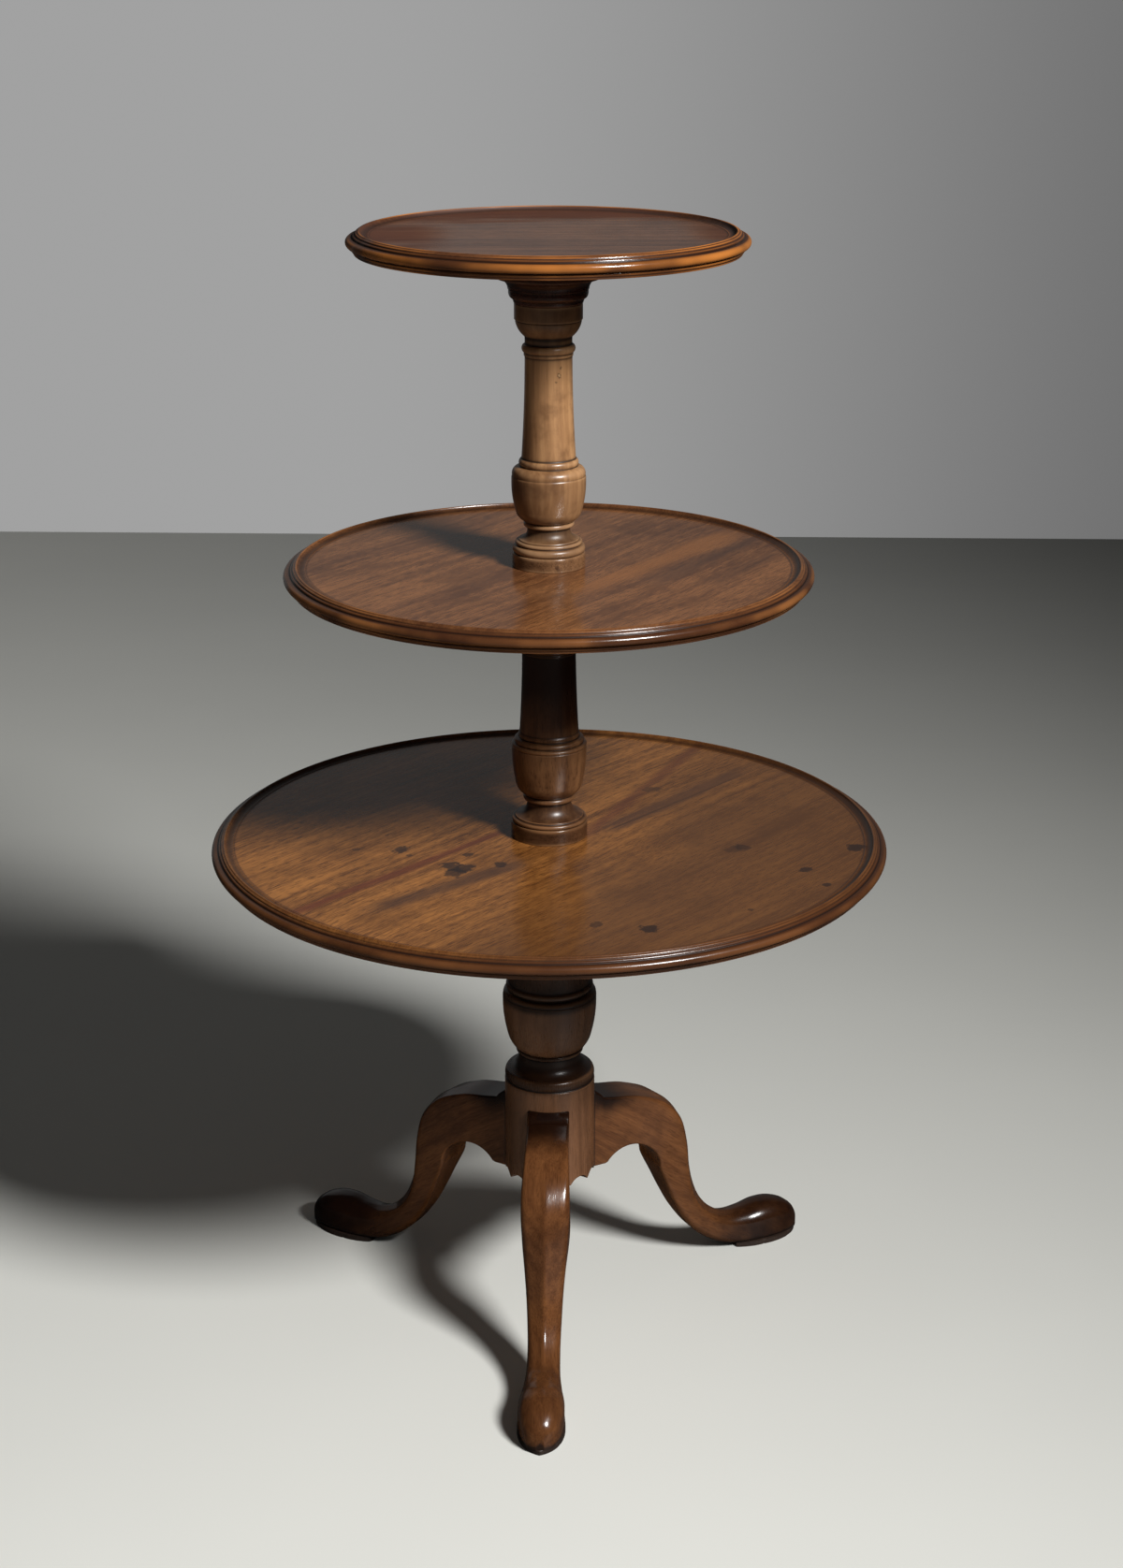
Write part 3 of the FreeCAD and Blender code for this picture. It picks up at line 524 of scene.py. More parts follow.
def leg_mesh(name, angle, foot_painted_shade):
    """A leg at its angle round the drum, its foot darkened with painted shade by the share given."""
    rows = [row for row in flowing(LEG_STATIONS, LEG_SECTIONS) if row[0] > DRUM_RADIUS]
    # the scribed end has close rings, set off from the drum
    offsets = list(SCRIBED_RINGS) + [None] * (len(rows) - 1)
    rows = rows[:1] * (len(SCRIBED_RINGS) - 1) + rows
    points, relief, shade, rings = [], [], [], []
    for row, offset in zip(rows, offsets):
        outer, inner = row[:2].copy(), out_of_arch(row[:2], row[2:4])
        rise = max(0, 1 - (outer[0] - DRUM_RADIUS) / SWEEP_LENGTH)
        if rise:
            outer[1] = max(outer[1], SWEEP_SEAT + SWEEP_HEIGHT * rise ** SWEEP_CURVE)
        depth = np.hypot(*(outer - inner))
        along = (outer - inner) / depth
        ring = []
        for across, up, sharp in leg_ring(row[4], depth, row[5], row[6], max(0, row[7])):
            reach, level = inner + along * up
            drum = math.sqrt(DRUM_RADIUS ** 2 - across ** 2)
            if offset is not None:
                reach = drum + offset
            ring.append(len(points))
            points.append((reach, across, max(level, SHOE_HEIGHT)))
            root = math.exp(-(reach - drum) / ROOT_DIRT)
            sole = math.exp(-(level - SHOE_HEIGHT) / SOLE_DIRT)
            relief.append(EDGE_RELIEF * sharp - SEAM_RELIEF * min(1, root + max(0, sole)))
            # painted shade: the top next to the drum goes dark for shade and dark reflection, and the foot for shade
            on_top = np.clip((up / depth - 0.6) / 0.38, 0, 1)
            by_drum = np.clip((KNEE_SHADE_END - reach) / KNEE_SHADE_FADE, 0, 1) * on_top
            on_foot = foot_painted_shade * np.clip((reach - FOOT_SHADE_START) / FOOT_SHADE_FADE, 0, 1)
            shade.append(max(by_drum, on_foot))
        rings.append(ring)
    faces = [rings[0], rings[-1][::-1]]
    for near, far in zip(rings, rings[1:]):
        for i in range(len(near)):
            j = (i + 1) % len(near)
            faces.append((near[i], near[j], far[j], far[i]))
    # the dovetail, whose end shows below the drum
    first = len(points)
    for level in (DRUM_BOTTOM, TENON["top"]):
        for reach, across in ((TENON["inner"], -TENON["tail"]), (TENON["outer"], -TENON["neck"]),
                              (TENON["outer"], TENON["neck"]), (TENON["inner"], TENON["tail"])):
            points.append((reach, across, level))
            relief.append(0)
            shade.append(0)
    faces += [[first + i for i in face] for face in (
        (3, 2, 1, 0), (4, 5, 6, 7), (0, 1, 5, 4), (1, 2, 6, 5), (2, 3, 7, 6), (3, 0, 4, 7))]
    points = np.array(points) * MM
    lean = np.array(Matrix.Rotation(GRAIN_SLOPE, 3, "Y"))
    grain = points @ lean + np.array([0, 0, angle * MM])
    place = np.array(Matrix.Rotation(math.radians(angle), 3, "Z"))
    mesh = bpy.data.meshes.new(name)
    mesh.from_pydata((points @ place.T).tolist(), [], faces)
    mesh.attributes.new("relief", "FLOAT", "POINT").data.foreach_set("value", np.array(relief))
    mesh.attributes.new("shade", "FLOAT", "POINT").data.foreach_set("value", np.array(shade))
    mesh.attributes.new("grain", "FLOAT_VECTOR", "POINT").data.foreach_set("vector", grain.ravel())
    mesh.shade_smooth()
    mesh.set_sharp_from_angle(angle=LEG_CREASE)
    face_outwards(mesh)
    return mesh


leg_wood = mahogany("leg_mahogany", (0.172, 0.066, 0.022), (0.066, 0.023, 0.008), source="grain", figure=0.4,
                    gloss=0.20, worn=(0.33, 0.13, 0.04), fleck=0.8, pore=0.35, patch=24.0,
                    dark=(0.007, 0.002, 0.001))
for leg_name, leg_angle, foot_painted_shade in zip(LEG_NAMES, LEG_ANGLES, FOOT_PAINTED_SHADES):
    name = f"{leg_name}_cabriole_leg"
    leg = add_object(name, leg_mesh(name, leg_angle, foot_painted_shade))
    leg.data.materials.append(leg_wood)
    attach(leg, "stand")
    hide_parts(f"{leg_name}_leg")


# Shoes: thin dark pads glued below the pad feet, sawn to the foot's plan and a little proud of the toe.
# Their lower edges are rubbed round by the floor.
SHOE_PLAN = [(204.0, 13.5, 0.06), (232.1, 20.9, 0.06), (260.9, 18.0, 0.12)]
SHOE_TOE = 280.2
SHOE_ROUND = 0.9
SHOE_STEP = 1.5
SHOE_CREASE = math.radians(40)


def shoe_mesh(name, angle):
    """A shoe at its leg's angle: the plan, mirrored about the leg, comes to a point at the toe."""
    near = [(x, -y, bulge) for x, y, bulge in SHOE_PLAN]
    far_bulges = (SHOE_PLAN[1][2], SHOE_PLAN[0][2], 0)
    far = [(x, y, bulge) for (x, y, _), bulge in zip(reversed(SHOE_PLAN), far_bulges)]
    corners = near + [(SHOE_TOE, 0, SHOE_PLAN[-1][2])] + far
    plan = np.concatenate([side_steps(a, b, a[2], SHOE_STEP) for a, b in zip(corners, corners[1:] + corners[:1])])
    shell = bmesh.new()
    outline = [shell.verts.new((x * MM, y * MM, 0)) for x, y in plan]
    sole = shell.faces.new(outline)
    lifted = bmesh.ops.extrude_face_region(shell, geom=[sole])["geom"]
    for vert in lifted:
        if isinstance(vert, bmesh.types.BMVert):
            vert.co.z = SHOE_HEIGHT * MM
    rims = [edge for edge in shell.edges if abs(edge.verts[0].co.z - edge.verts[1].co.z) < 1e-6]
    bmesh.ops.bevel(shell, geom=rims, offset=SHOE_ROUND * MM, segments=3, affect="EDGES", profile=0.5)
    bmesh.ops.rotate(shell, verts=shell.verts, matrix=Matrix.Rotation(math.radians(angle), 3, "Z"))
    bmesh.ops.recalc_face_normals(shell, faces=shell.faces)
    mesh = bpy.data.meshes.new(name)
    shell.to_mesh(mesh)
    shell.free()
    mesh.shade_smooth()
    mesh.set_sharp_from_angle(angle=SHOE_CREASE)
    return mesh


shoe_wood = mahogany("shoe_wood", (0.040, 0.022, 0.014), (0.014, 0.008, 0.006), gloss=0.5)
for leg_name, leg_angle in zip(LEG_NAMES, LEG_ANGLES):
    name = f"{leg_name}_foot_shoe"
    shoe = add_object(name, shoe_mesh(name, leg_angle))
    shoe.data.materials.append(shoe_wood)
    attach(shoe, "stand")
    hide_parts(f"{leg_name}_shoe")


# Middle and upper lengths of the pillar: slimmer turnings of the same pattern, each with a plain spigot that
# plugs through the tier below into the length below it. The upper one is a paler tan.
LOWER_BOSS_HEIGHT = 36.0
MIDDLE_BOSS_HEIGHT = 30.0
TOP_BOSS_HEIGHT = 43.0
FLOOR_THICKNESS = 15.0
LOWER_COLLAR_ROOM = 14.7
MIDDLE_COLLAR_ROOM = 12.5
LOWER_UNDERSIDE = BASE_TOP + LOWER_BOSS_HEIGHT
LOWER_FLOOR = LOWER_UNDERSIDE + FLOOR_THICKNESS
MIDDLE_BOTTOM = LOWER_FLOOR + LOWER_COLLAR_ROOM
MIDDLE_HEIGHT = 192.3
MIDDLE_TOP = MIDDLE_BOTTOM + MIDDLE_HEIGHT
MIDDLE_RADIUS = 33.5
MIDDLE_UNDERSIDE = MIDDLE_TOP + MIDDLE_BOSS_HEIGHT
MIDDLE_FLOOR = MIDDLE_UNDERSIDE + FLOOR_THICKNESS
UPPER_BOTTOM = MIDDLE_FLOOR + MIDDLE_COLLAR_ROOM
UPPER_HEIGHT = 216.5
UPPER_TOP = UPPER_BOTTOM + UPPER_HEIGHT
UPPER_RADIUS = 32.5
UPPER_SPIGOT = 13.0
TOP_UNDERSIDE = UPPER_TOP + TOP_BOSS_HEIGHT
TOP_FLOOR = TOP_UNDERSIDE + FLOOR_THICKNESS
PIN_RADIUS = 11.0
PIN_LENGTH = 28.0
MIDDLE_OUTLINE = [
    (0.000, 0.964, 0.42), (0.020, 0.964, 0), (0.022, 0.925, 0), (0.029, 0.925, -0.20),
    (0.087, 0.597, 0), (0.100, 0.597, 0), (0.102, 0.642, 0.37), (0.130, 0.642, 0),
    (0.133, 0.675, 0.128), (0.199, 0.913, 0.03), (0.366, 0.997, 0), (0.367, 0.973, 0.33),
    (0.386, 0.973, 0), (0.388, 0.907, 0.35), (0.412, 0.860, 0), (0.415, 0.794, 0.22),
    (0.438, 0.794, 0), (0.440, 0.791, -0.006), (0.823, 0.713, 0), (0.825, 0.743, 0),
    (0.836, 0.743, 0), (0.838, 0.758, 0.26), (0.864, 0.758, 0), (0.866, 0.704, 0),
    (0.886, 0.704, 0), (0.887, 0.722, 0.09), (0.938, 0.943, 0), (0.939, 0.931, 0),
    (0.943, 0.931, 0), (0.945, 0.967, 0), (1.000, 0.967, 0),
]
UPPER_OUTLINE = [
    (0.000, 0.923, 0.28), (0.029, 0.932, 0), (0.032, 0.862, 0.38), (0.049, 0.858, 0),
    (0.050, 0.818, 0), (0.055, 0.815, -0.20), (0.090, 0.578, 0), (0.102, 0.578, 0),
    (0.104, 0.622, 0.42), (0.126, 0.622, 0), (0.128, 0.665, 0.128), (0.176, 0.905, 0.035),
    (0.289, 1.000, 0), (0.309, 1.000, 0), (0.312, 0.982, 0), (0.316, 0.985, 0.20),
    (0.351, 0.831, 0), (0.353, 0.757, 0.24), (0.381, 0.757, 0), (0.383, 0.729, -0.0085),
    (0.792, 0.631, 0), (0.794, 0.655, 0), (0.807, 0.655, 0), (0.809, 0.674, 0.20),
    (0.838, 0.674, 0), (0.840, 0.629, 0), (0.868, 0.629, 0), (0.871, 0.643, 0.09),
    (0.931, 0.880, 0), (0.932, 0.868, 0), (0.935, 0.868, 0), (0.937, 0.905, 0),
    (1.000, 0.905, 0),
]
# painted shade by level: dark in the lower mouldings and up towards the tray above, where its shadow falls
MIDDLE_SHADE = [(490, 0.45), (513, 0.35), (524, 0), (560, 0), (620, 1)]
UPPER_SHADE = [
    (740, 0.6), (757, 0.55), (775, 0.5), (800, 0.45), (812, 0.15), (830, 0), (905, 0), (925, 0.28), (952, 0.75),
]
# dents: place, radius and how much bare wood shows
UPPER_DENTS = [(9.9, -18.5, 895.0, 2.0, 0.55), (11.0, -17.7, 901.5, 1.3, 0.0), (7.0, -19.7, 889.5, 1.0, 0.0)]
DENT_TONE = (0.045, 0.020, 0.010)
BARE_TONE = (0.58, 0.38, 0.20)


def blot(place, x, y, z, size, ragged):
    """Ragged round spot at a place in millimetres: 1 inside, 0 outside."""
    centre = (x * MM, y * MM, z * MM)
    away = place.node("ShaderNodeVectorMath", {"operation": "DISTANCE"}, {0: place, 1: centre}, 1)
    return 1 - (away / (size * MM) + ragged).rise(0.75, 1.15)


def chips(dents):
    """Small dents full of dirt, some with bare wood in the middle."""
    def lay(colour, rough, place, grain):
        ragged = (place.noise(420.0, 3.0, 0.6) - 0.5) * 2.6
        for x, y, z, size, bare in dents:
            colour = colour.tinted(blot(place, x, y, z, size, ragged) * 0.6, DENT_TONE)
            if bare:
                colour = colour.tinted(blot(place, x, y, z, size * 0.5, ragged) * bare, BARE_TONE)
        return colour, rough
    return lay


middle_wood = mahogany("middle_pillar_mahogany", (0.205, 0.096, 0.040), (0.052, 0.020, 0.008), turn=UPRIGHT,
                       shift=(0.3, 0.1, 0.2), worn=(0.27, 0.13, 0.055), fleck=0.6, gloss=0.31,
                       dark=(0.018, 0.006, 0.003))
upper_wood = mahogany("upper_pillar_mahogany", (0.45, 0.245, 0.110), (0.150, 0.066, 0.026), turn=UPRIGHT,
                      shift=(0.7, 0.3, 0.1), worn=(0.46, 0.27, 0.14), figure=0.5, fleck=0.15, pore=0.1,
                      mottle=0.65, patch=34.0, gloss=0.32, dark=(0.060, 0.025, 0.012), marks=chips(UPPER_DENTS))
corners = core(LOWER_SPIGOT, BASE_TOP - SOCKET_DEPTH, MIDDLE_BOTTOM)
corners += stacked(MIDDLE_OUTLINE, MIDDLE_BOTTOM, MIDDLE_HEIGHT, MIDDLE_RADIUS)
corners += core(UPPER_SPIGOT, MIDDLE_TOP - SOCKET_DEPTH, MIDDLE_TOP)[::-1]
middle = turned("pillar_middle", corners, middle_wood, shade=MIDDLE_SHADE)
corners = core(UPPER_SPIGOT, MIDDLE_TOP - SOCKET_DEPTH, UPPER_BOTTOM)
corners += stacked(UPPER_OUTLINE, UPPER_BOTTOM, UPPER_HEIGHT, UPPER_RADIUS)
corners += core(PIN_RADIUS, UPPER_TOP + PIN_LENGTH, UPPER_TOP)[::-1]
upper = turned("pillar_upper", corners, upper_wood, shade=UPPER_SHADE)
for length, node in ((middle, "middle"), (upper, "upper")):
    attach(length, "stand")
    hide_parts(f"{node}_column")


# Bosses: turned blocks with a broad flange, screwed below the trays. Each rests on the cup of the pillar
# below it and turns there, so its lower mouldings stay dark and rubbed.
FLANGE_LIP = 16.0
FLANGE_THICKNESS = 9.0
RUNNING_CLEARANCE = 0.05
PIN_ROOM = 1
BOSS_OUTLINE = [
    (0.000, 1.003, 0), (0.080, 1.044, 0), (0.093, 1.054, 0.15), (0.186, 1.156, 0),
    (0.190, 1.163, 0), (0.279, 1.163, 0), (0.281, 1.184, -0.20), (0.490, 1.480, 0),
    (0.500, 1.530, 0),
]
# tier: cup radius, bottom of the boss, underside of the tray, radius of the hole
TIERS = {
    "lower": (BASE_RADIUS * BASE_OUTLINE[-1][1], BASE_TOP, LOWER_UNDERSIDE, LOWER_SPIGOT),
    "middle": (MIDDLE_RADIUS * MIDDLE_OUTLINE[-1][1], MIDDLE_TOP, MIDDLE_UNDERSIDE, UPPER_SPIGOT),
    "top": (UPPER_RADIUS * UPPER_OUTLINE[-1][1], UPPER_TOP, TOP_UNDERSIDE, PIN_RADIUS),
}
boss_wood = mahogany("boss_mahogany", (0.055, 0.015, 0.008), (0.018, 0.005, 0.003), turn=(0, 0, 0.9),
                     worn=(0.22, 0.10, 0.05))
for tier, (cup, bottom, underside, hole) in TIERS.items():
    throat = cup * BOSS_OUTLINE[-1][1]
    lip = throat + FLANGE_LIP
    flange = underside - FLANGE_THICKNESS
    bore = hole + RUNNING_CLEARANCE
    corners = stacked(BOSS_OUTLINE, bottom, underside - bottom, cup)
    corners += [(throat, flange, 0), (lip, flange, 0), (lip, underside, 0)]
    if tier == "top":
        corners = core(bore, bottom + PIN_LENGTH + PIN_ROOM, bottom) + corners + [(0, underside, 0)]
    else:
        corners += [(bore, underside, 0), (bore, bottom, 0)]
    boss = turned(f"{tier}_tray_boss", corners, boss_wood, closed=tier != "top")
    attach(boss, f"{tier}_tier")
    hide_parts(f"{tier}_boss")


# Screws: four countersunk slotted screws of dull hand-cut steel in each flange, driven up into the tray.
# Their slots stand at odd angles, as they were left by hand.
SCREW = {"Head radius": 4.2, "Shank radius": 2.1, "Length": 17.0, "Slot width": 0.9, "Slot depth": 1.0}
SCREW_COUNT = 4
SCREW_SIDES = 32
STEEL_TONE = (0.23, 0.215, 0.195)
RUST_TONE = (0.085, 0.045, 0.026)


def screw_tree():
    """Geometry nodes for a ring of upright slotted screws, heads down."""
    sizes = {name: "Float" for name in ("Ring radius", "Level", *SCREW)}
    tree, given = node_group("screw_ring", {
        "Geometry": "Geometry", "Count": "Int", **sizes, "Seed": "Int", "Steel": "Material"}, "Screws")

    def add(kind, sockets, **settings):
        return add_node(tree, kind, sockets, **settings)

    def worked(operation, *terms):
        return add("ShaderNodeMath", dict(enumerate(terms)), operation=operation)

    taper = worked("SUBTRACT", given["Head radius"], given["Shank radius"])
    head = add("GeometryNodeMeshCone", {"Vertices": SCREW_SIDES, "Radius Bottom": given["Head radius"],
                                        "Radius Top": given["Shank radius"], "Depth": taper})
    body = worked("SUBTRACT", given["Length"], taper)
    shank = add("GeometryNodeMeshCylinder", {"Vertices": SCREW_SIDES, "Radius": given["Shank radius"], "Depth": body})
    lift = add("ShaderNodeCombineXYZ", {"Z": worked("MULTIPLY_ADD", body, 0.5, taper)})
    raised = add("GeometryNodeTransform", {"Geometry": shank, "Translation": lift})
    wide = worked("MULTIPLY", given["Head radius"], 3.0)
    deep = worked("MULTIPLY", given["Slot depth"], 2.0)
    cutter = add("GeometryNodeMeshCube", {
        "Size": add("ShaderNodeCombineXYZ", {"X": wide, "Y": given["Slot width"], "Z": deep})})
    slotted = add("GeometryNodeMeshBoolean", {0: head, 1: cutter}, operation="DIFFERENCE")
    screw = tree.nodes.new("GeometryNodeJoinGeometry")
    for part in (slotted, raised):
        tree.links.new(part, screw.inputs[0])
    ring = add("GeometryNodeMeshCircle", {"Vertices": given["Count"], "Radius": given["Ring radius"]})
    odd = add("FunctionNodeRandomValue", {"Seed": given["Seed"], 1: (0, 0, math.pi)}, data_type="FLOAT_VECTOR")
    placed = add("GeometryNodeInstanceOnPoints", {"Points": ring, "Instance": screw.outputs[0], "Rotation": odd})
    height = add("ShaderNodeCombineXYZ", {"Z": given["Level"]})
    level = add("GeometryNodeTransform", {"Geometry": placed, "Translation": height})
    realize = add("GeometryNodeRealizeInstances", {"Geometry": level})
    finish = add("GeometryNodeSetMaterial", {"Geometry": realize, "Material": given["Steel"]})
    tree.links.new(finish, tree.nodes.new("NodeGroupOutput").inputs[0])
    return tree


def dull_steel(name):
    steel, tree, shader = new_material(name)
    rust = own_place(tree).noise(420.0, 4.0, 0.6).rise(0.45, 0.7)
    tree.links.new(rust.between(STEEL_TONE, RUST_TONE).socket, shader.inputs["Base Color"])
    tree.links.new((1 - rust * 0.7).socket, shader.inputs["Metallic"])
    tree.links.new((0.42 + rust * 0.3).socket, shader.inputs["Roughness"])
    return steel


screw_ring = screw_tree()
screw_steel = dull_steel("screw_steel")
for seed, (tier, (cup, bottom, underside, hole)) in enumerate(TIERS.items()):
    values = {name: size * MM for name, size in SCREW.items()}
    values["Ring radius"] = (cup * BOSS_OUTLINE[-1][1] + FLANGE_LIP / 2) * MM
    values["Level"] = (underside - FLANGE_THICKNESS) * MM
    values.update({"Count": SCREW_COUNT, "Seed": seed, "Steel": screw_steel})
    name = f"{tier}_flange_screws"
    screws = grown(add_object(name, bpy.data.meshes.new(name)), screw_ring, values)
    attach(screws, f"{tier}_tier")
    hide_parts(f"{tier}_screws")


# Trays: three round mahogany boards, dish-turned with a reeded rim: a bead round the edge, stepped reeds and a
# cove down to the floor. They are golden to grey brown with streaks along the grain and old spills.
RIM_WIDTH = 20.0
RIM_HEIGHT = 19.0
RIM_OUTLINE = [
    (0.350, 0.000, 0), (0.310, 0.110, 0.30), (0.290, 0.280, 0), (0.186, 0.300, 0.49),
    (0.188, 0.700, 0), (0.300, 0.715, 0.25), (0.410, 0.835, 0.25), (0.500, 0.935, 0.25),
    (0.610, 0.975, -0.22), (0.955, 0.812, 0), (0.980, 0.812, 0),
]
TRAY_RADII = {"lower": 305.0, "middle": 232.5, "top": 171.0}
LOWER_GRAIN = math.radians(52)
MIDDLE_GRAIN = math.radians(58)
TOP_GRAIN = math.radians(4)
# streaks along the grain: from and to as along, across; width; colour; strength
LOWER_STREAKS = [
    (-290, 40, -20, 36, 10, (0.110, 0.024, 0.010), 0.8), (20, -28, 295, 48, 11, (0.110, 0.028, 0.012), 0.65),
    (-235, -5, -70, -30, 17, (0.050, 0.022, 0.014), 0.75), (40, -33, 255, -32, 18, (0.056, 0.025, 0.018), 0.65),
    (40, -36, 235, -40, 1.6, (0.020, 0.008, 0.006), 0.8),
]
MIDDLE_STREAKS = [
    (-60, -72, 190, -76, 22, (0.330, 0.125, 0.034), 0.55), (0, -108, 190, -106, 18, (0.060, 0.026, 0.015), 0.6),
    (20, -150, 150, -146, 16, (0.060, 0.026, 0.015), 0.4),
]
TOP_STREAKS = [
    (-175, 128, 175, 132, 62, (0.075, 0.018, 0.007), 0.8), (-190, 0, -95, -5, 120, (0.070, 0.018, 0.008), 0.75),
    (130, 10, 190, 5, 110, (0.055, 0.015, 0.007), 0.75),
]
# old spills: place in the tray's plane, radius, strength
LOWER_SPILLS = [
    (-83, -86, 10, 0.85), (-72, -90, 10, 0.85), (-79, -102, 10, 0.8), (-41, -80, 6, 0.8), (-71, -56, 6, 0.75),
    (-132, -45, 8, 0.8), (-123, -60, 3, 0.6), (-172, -46, 4, 0.5), (89, -224, 8, 0.85), (46, -216, 6, 0.6),
    (228, -85, 6, 0.8), (244, -120, 4, 0.8), (175, -31, 7, 0.6), (167, -36, 9, 0.35), (277, -28, 9, 0.85),
    (94, 123, 8, 0.5), (176, -180, 3, 0.6),
]
STREAK_FADE = 25
SPILL_TONE = (0.020, 0.010, 0.008)
EDGE_TONE = (0.046, 0.016, 0.007)
RIM_FADE = 2
BEAD_START, BEAD_END = 9, 6


def tray_marks(radius, floor, lie, streaks, spills=(), dull=None, dry=0.0):
    """Streaks and spills on a tray's floor, and the darker polish of its rim. Lie is the angle of the grain,
    dull the tone of a side that has lost its shine, and dry how matt the streaks are."""
    def lay(colour, rough, place, grain):
        along, across, _ = place.mapped(turn=(0, 0, -lie)).split()
        wobble = grain.mapped(scale=(6, 40, 40)).noise(1.0, 3.0, 0.6) - 0.5
        for u0, v0, u1, v1, width, tone, strength in streaks:
            line = (along - u0 * MM) * ((v1 - v0) / (u1 - u0)) + v0 * MM
            off = (across - line) / (width * MM) + wobble * 1.6
            begun = along.rise((u0 - STREAK_FADE) * MM, (u0 + STREAK_FADE) * MM)
            ended = along.rise((u1 - STREAK_FADE) * MM, (u1 + STREAK_FADE) * MM)
            band = (1 - off.math("ABSOLUTE", off).rise(0.1, 1.0)) * begun * (1 - ended)
            colour = colour.tinted(band * strength, tone)
            rough = rough + band * dry
        if dull:
            side = across * -1.0 + along * 0.3 + (place.noise(9.0, 3.0, 0.6) - 0.5) * 0.2
            colour = colour.tinted(side.rise(-0.03, 0.16) * 0.75, dull)
        ragged = (place.noise(120.0, 4.0, 0.65) - 0.5) * 2.6
        for x, y, size, strength in spills:
            spill = blot(place, x, y, floor, size, ragged)
            colour = colour.tinted(spill * strength, SPILL_TONE)
            rough = rough + spill * 0.02
        flat_place = place.moved((1, 1, 0), "MULTIPLY")
        reach = flat_place.node("ShaderNodeVectorMath", {"operation": "LENGTH"}, {0: flat_place}, 1)
        rim = reach.rise((radius - RIM_WIDTH - RIM_FADE) * MM, (radius - RIM_WIDTH) * MM)
        bead = reach.rise((radius - BEAD_START) * MM, (radius - BEAD_END) * MM)
        colour = colour.tinted(rim * 0.55, EDGE_TONE).tinted(bead * 0.8, EDGE_TONE)
        return colour, rough + rim * 0.04
    return lay


lower_marks = tray_marks(TRAY_RADII["lower"], LOWER_FLOOR, LOWER_GRAIN, LOWER_STREAKS, LOWER_SPILLS,
                         dull=(0.088, 0.036, 0.014))
middle_marks = tray_marks(TRAY_RADII["middle"], MIDDLE_FLOOR, MIDDLE_GRAIN, MIDDLE_STREAKS)
top_marks = tray_marks(TRAY_RADII["top"], TOP_FLOOR, TOP_GRAIN, TOP_STREAKS, dry=0.45)
TRAY_WOODS = {
    "lower": mahogany("lower_tray_mahogany", (0.400, 0.160, 0.038), (0.100, 0.034, 0.009),
                      turn=(0, 0, -LOWER_GRAIN), gloss=0.20, marks=lower_marks, worn=(0.34, 0.13, 0.04),
                      wear=0.25, fleck=1.5),
    "middle": mahogany("middle_tray_mahogany", (0.285, 0.117, 0.042), (0.085, 0.031, 0.013),
                       turn=(0, 0, -MIDDLE_GRAIN), shift=(0.4, 0.2, 0), gloss=0.17, marks=middle_marks,
                       worn=(0.40, 0.155, 0.045), wear=0.55, fleck=1.4, pore=0.5),
    "top": mahogany("top_tray_mahogany", (0.235, 0.098, 0.043), (0.070, 0.026, 0.013),
                    turn=(0, 0, -TOP_GRAIN), shift=(0.1, 0.5, 0), gloss=0.14, marks=top_marks,
                    worn=(0.56, 0.195, 0.038), wear=0.72, fleck=1.3, pore=0.4),
}
for tier, (cup, bottom, underside, hole) in TIERS.items():
    edge = TRAY_RADII[tier]
    floor = underside + FLOOR_THICKNESS
    corners = [(edge - RIM_WIDTH * inset, underside + RIM_HEIGHT * rise, bulge)
               for inset, rise, bulge in RIM_OUTLINE]
    corners.append((corners[-1][0], floor, 0))
    if tier == "top":
        corners = [(0, underside, 0)] + corners + [(0, floor, 0)]
    else:
        inner = hole + RUNNING_CLEARANCE
        corners = [(inner, underside, 0)] + corners + [(inner, floor, 0)]
    tray = turned(f"{tier}_dish_tray", corners, TRAY_WOODS[tier], closed=tier != "top", steps=300, wear=0.3)
    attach(tray, f"{tier}_tier")
    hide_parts(f"{tier}_tray")


# Collars: plain plinth rings glued to the floors of the two pierced trays, round the foot of the pillar above.
# They turn with the trays, and a fine dark seam parts them from the pillar.
COLLARS = {"lower": (34.5, 14.4, LOWER_FLOOR, LOWER_SPIGOT), "middle": (32.0, 12.2, MIDDLE_FLOOR, UPPER_SPIGOT)}
COLLAR_ROUND = 1.2
QUARTER_ROUND = (math.sqrt(2) - 1) / 2
COLLAR_DENTS = [(8.7, -30.8, MIDDLE_FLOOR + 3.5, 2.0, 0.0), (8.5, -30.9, MIDDLE_FLOOR + 5.0, 1.6, 0.0)]
COLLAR_WOODS = {
    "lower": mahogany("lower_collar_mahogany", (0.085, 0.037, 0.017), (0.030, 0.012, 0.005), turn=(0, 0, 0.4),
                      worn=(0.25, 0.12, 0.05)),
    "middle": mahogany("middle_collar_mahogany", (0.20, 0.100, 0.046), (0.07, 0.031, 0.014), turn=(0, 0, 1.1),
                       worn=(0.36, 0.2, 0.1), marks=chips(COLLAR_DENTS)),
}
for tier, (radius, height, floor, hole) in COLLARS.items():
    top = floor + height
    inner = hole + RUNNING_CLEARANCE
    corners = [(inner, floor, 0), (radius, floor, 0), (radius, top - COLLAR_ROUND, QUARTER_ROUND),
               (radius - COLLAR_ROUND, top, 0), (inner, top, 0)]
    collar = turned(f"{tier}_plinth_collar", corners, COLLAR_WOODS[tier], closed=True)
    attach(collar, f"{tier}_tier")
    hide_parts(f"{tier}_collar")


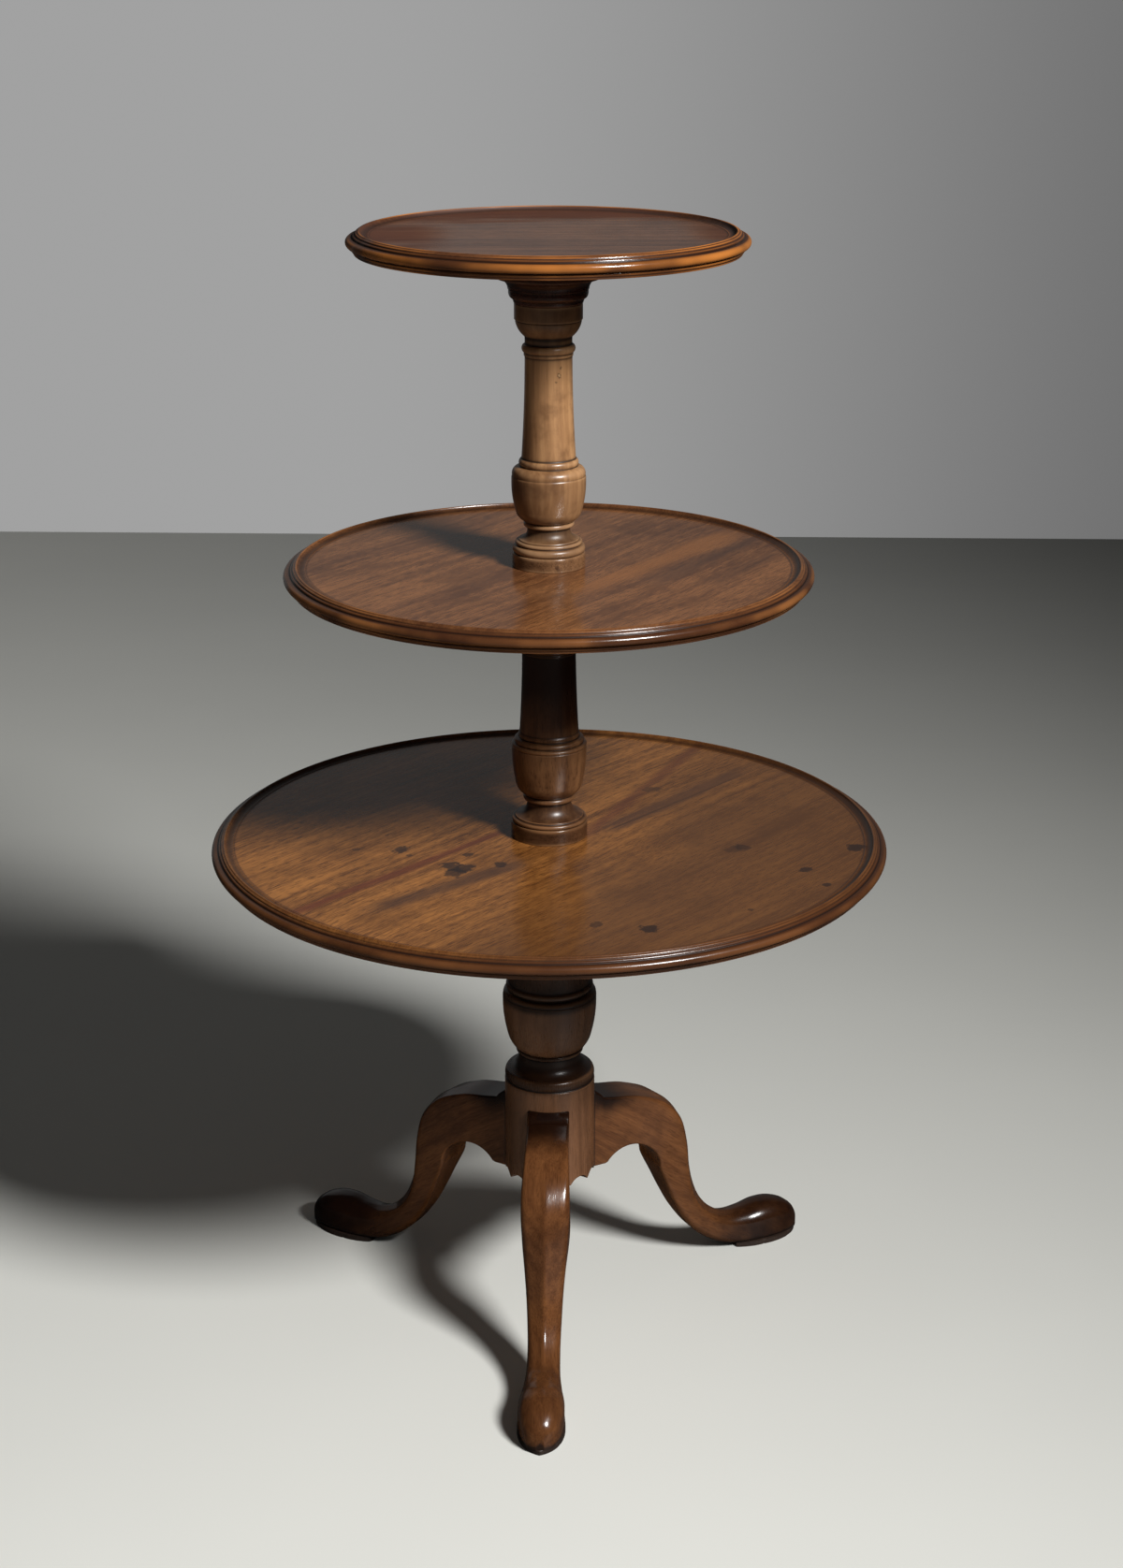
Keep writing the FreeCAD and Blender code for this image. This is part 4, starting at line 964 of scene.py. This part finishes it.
# Studio: a pale painted floor and a grey wall, one soft lamp from the front right and a weak fill.
# The camera stands where the photograph was taken from.
CAMERA_AWAY = 2.2425
CAMERA_HEIGHT = 1.3089
CAMERA_ROUND = math.radians(1.9)
CAMERA_YAW = math.radians(-0.284)
CAMERA_DOWN = math.radians(19.366)
CAMERA_LENS = 60.373
CAMERA_SENSOR = 36
WALL_BEHIND = 3.02
WALL_HALF = 2.4
WALL_HEIGHT = 3
WALL_IN_GLOSS = 0.34
FLOOR_HALF = 9
LAMP_PLACE = (2.13, -2.33, 3.05)
LAMP_AIM = (-4.0, -0.28, 0.0)
SKY_SEEN, SKY_IN_GLOSS, SKY_FILL = 0.24, -0.035, 0.05


def light_rays(tree):
    """Two masks: 1 where the camera looks straight on, and 1 in the gloss of another piece."""
    ray = tree.nodes.new("ShaderNodeLightPath")
    return Wire(tree, ray.outputs["Is Camera Ray"]), Wire(tree, ray.outputs["Is Glossy Ray"])


def paint(name, colour, rough, bounce=1.0, mirror=1.0):
    """Matt studio paint, a little cloudy. Shares of it are thrown back on the table and mirrored in its polish."""
    coat, tree, shader = new_material(name)
    cloud = own_place(tree).noise(1.7, 3.0, 0.5)
    shade = cloud.rise(0.3, 0.7).between([c * 0.97 for c in colour], colour)
    straight, glossy = light_rays(tree)
    shade = shade.tinted((1 - straight) * (1 - bounce) + glossy * (bounce - mirror), (0, 0, 0))
    tree.links.new(shade.socket, shader.inputs["Base Color"])
    shader.inputs["Roughness"].default_value = rough
    return coat


def sheet(name, corners, coat):
    """A flat sheet of the stage, clear from behind so that it never hides the table."""
    tree = coat.node_tree
    surface = tree.nodes["Material Output"].inputs["Surface"]
    painted = Wire(tree, surface.links[0].from_socket)
    behind = Wire(tree, tree.nodes.new("ShaderNodeNewGeometry").outputs["Backfacing"])
    clear = painted.node("ShaderNodeBsdfTransparent", {}, {})
    tree.links.new(painted.node("ShaderNodeMixShader", {}, {0: behind, 1: painted, 2: clear}).socket, surface)
    mesh = bpy.data.meshes.new(name)
    mesh.from_pydata(corners, [], [(0, 1, 2, 3)])
    mesh.materials.append(coat)
    add_object(name, mesh)


def wall_paint(name, lit_left_glow, dim_right_glow):
    """Grey wall, lighter on the left: as bright as in the photograph to the eye and in gloss, dim to the rest."""
    coat = paint(name, (0.10, 0.10, 0.10), 0.9)
    tree = coat.node_tree
    straight, glossy = light_rays(tree)
    seen = straight + glossy * WALL_IN_GLOSS
    # painted light: the wall glows brighter on the left and dimmer on the right, a painted pool of lamp light
    tone = own_place(tree).split()[0].rise(-0.6, 1.5).between(lit_left_glow, dim_right_glow)
    glow = tone.node("ShaderNodeEmission", {}, {"Color": tone})
    painted = Wire(tree, tree.nodes["Principled BSDF"].outputs[0])
    mixed = seen.node("ShaderNodeMixShader", {}, {0: seen, 1: painted, 2: glow})
    tree.links.new(mixed.socket, tree.nodes["Material Output"].inputs["Surface"])
    return coat


sheet("studio_floor", [(-FLOOR_HALF, -FLOOR_HALF, 0), (FLOOR_HALF, -FLOOR_HALF, 0),
                       (FLOOR_HALF, WALL_BEHIND, 0), (-FLOOR_HALF, WALL_BEHIND, 0)],
      paint("floor_paint", (0.765, 0.765, 0.715), 0.55, bounce=0.75, mirror=0.05))
sheet("studio_wall", [(-WALL_HALF, WALL_BEHIND, 0), (WALL_HALF, WALL_BEHIND, 0),
                      (WALL_HALF, WALL_BEHIND, WALL_HEIGHT), (-WALL_HALF, WALL_BEHIND, WALL_HEIGHT)],
      wall_paint("wall_paint", (0.36, 0.36, 0.36), (0.145, 0.145, 0.145)))

key = bpy.data.lights.new("key_lamp", "SPOT")
key.energy = 1165
key.spot_size = math.radians(114)
key.spot_blend = 1.0
key.shadow_soft_size = 0.46
lamp = add_object("key_lamp", key)
lamp.location = LAMP_PLACE
lamp.rotation_euler = (Vector(LAMP_AIM) - lamp.location).to_track_quat("-Z", "Y").to_euler()

world = bpy.data.worlds.new("studio")
world.use_nodes = True
sky = world.node_tree
straight, glossy = light_rays(sky)
strength = straight * SKY_SEEN + glossy * SKY_IN_GLOSS + SKY_FILL
sky.links.new(strength.socket, sky.nodes["Background"].inputs["Strength"])
sky.nodes["Background"].inputs["Color"].default_value = (1, 1, 1, 1)
bpy.context.scene.world = world

lens = bpy.data.cameras.new("camera")
lens.lens = CAMERA_LENS
lens.sensor_width = CAMERA_SENSOR
camera = add_object("camera", lens)
camera.location = (CAMERA_AWAY * math.sin(CAMERA_ROUND), -CAMERA_AWAY * math.cos(CAMERA_ROUND), CAMERA_HEIGHT)
camera.rotation_euler = (math.radians(90) - CAMERA_DOWN, 0, CAMERA_ROUND + CAMERA_YAW)
bpy.context.scene.camera = camera
bpy.context.scene.view_settings.view_transform = "Standard"
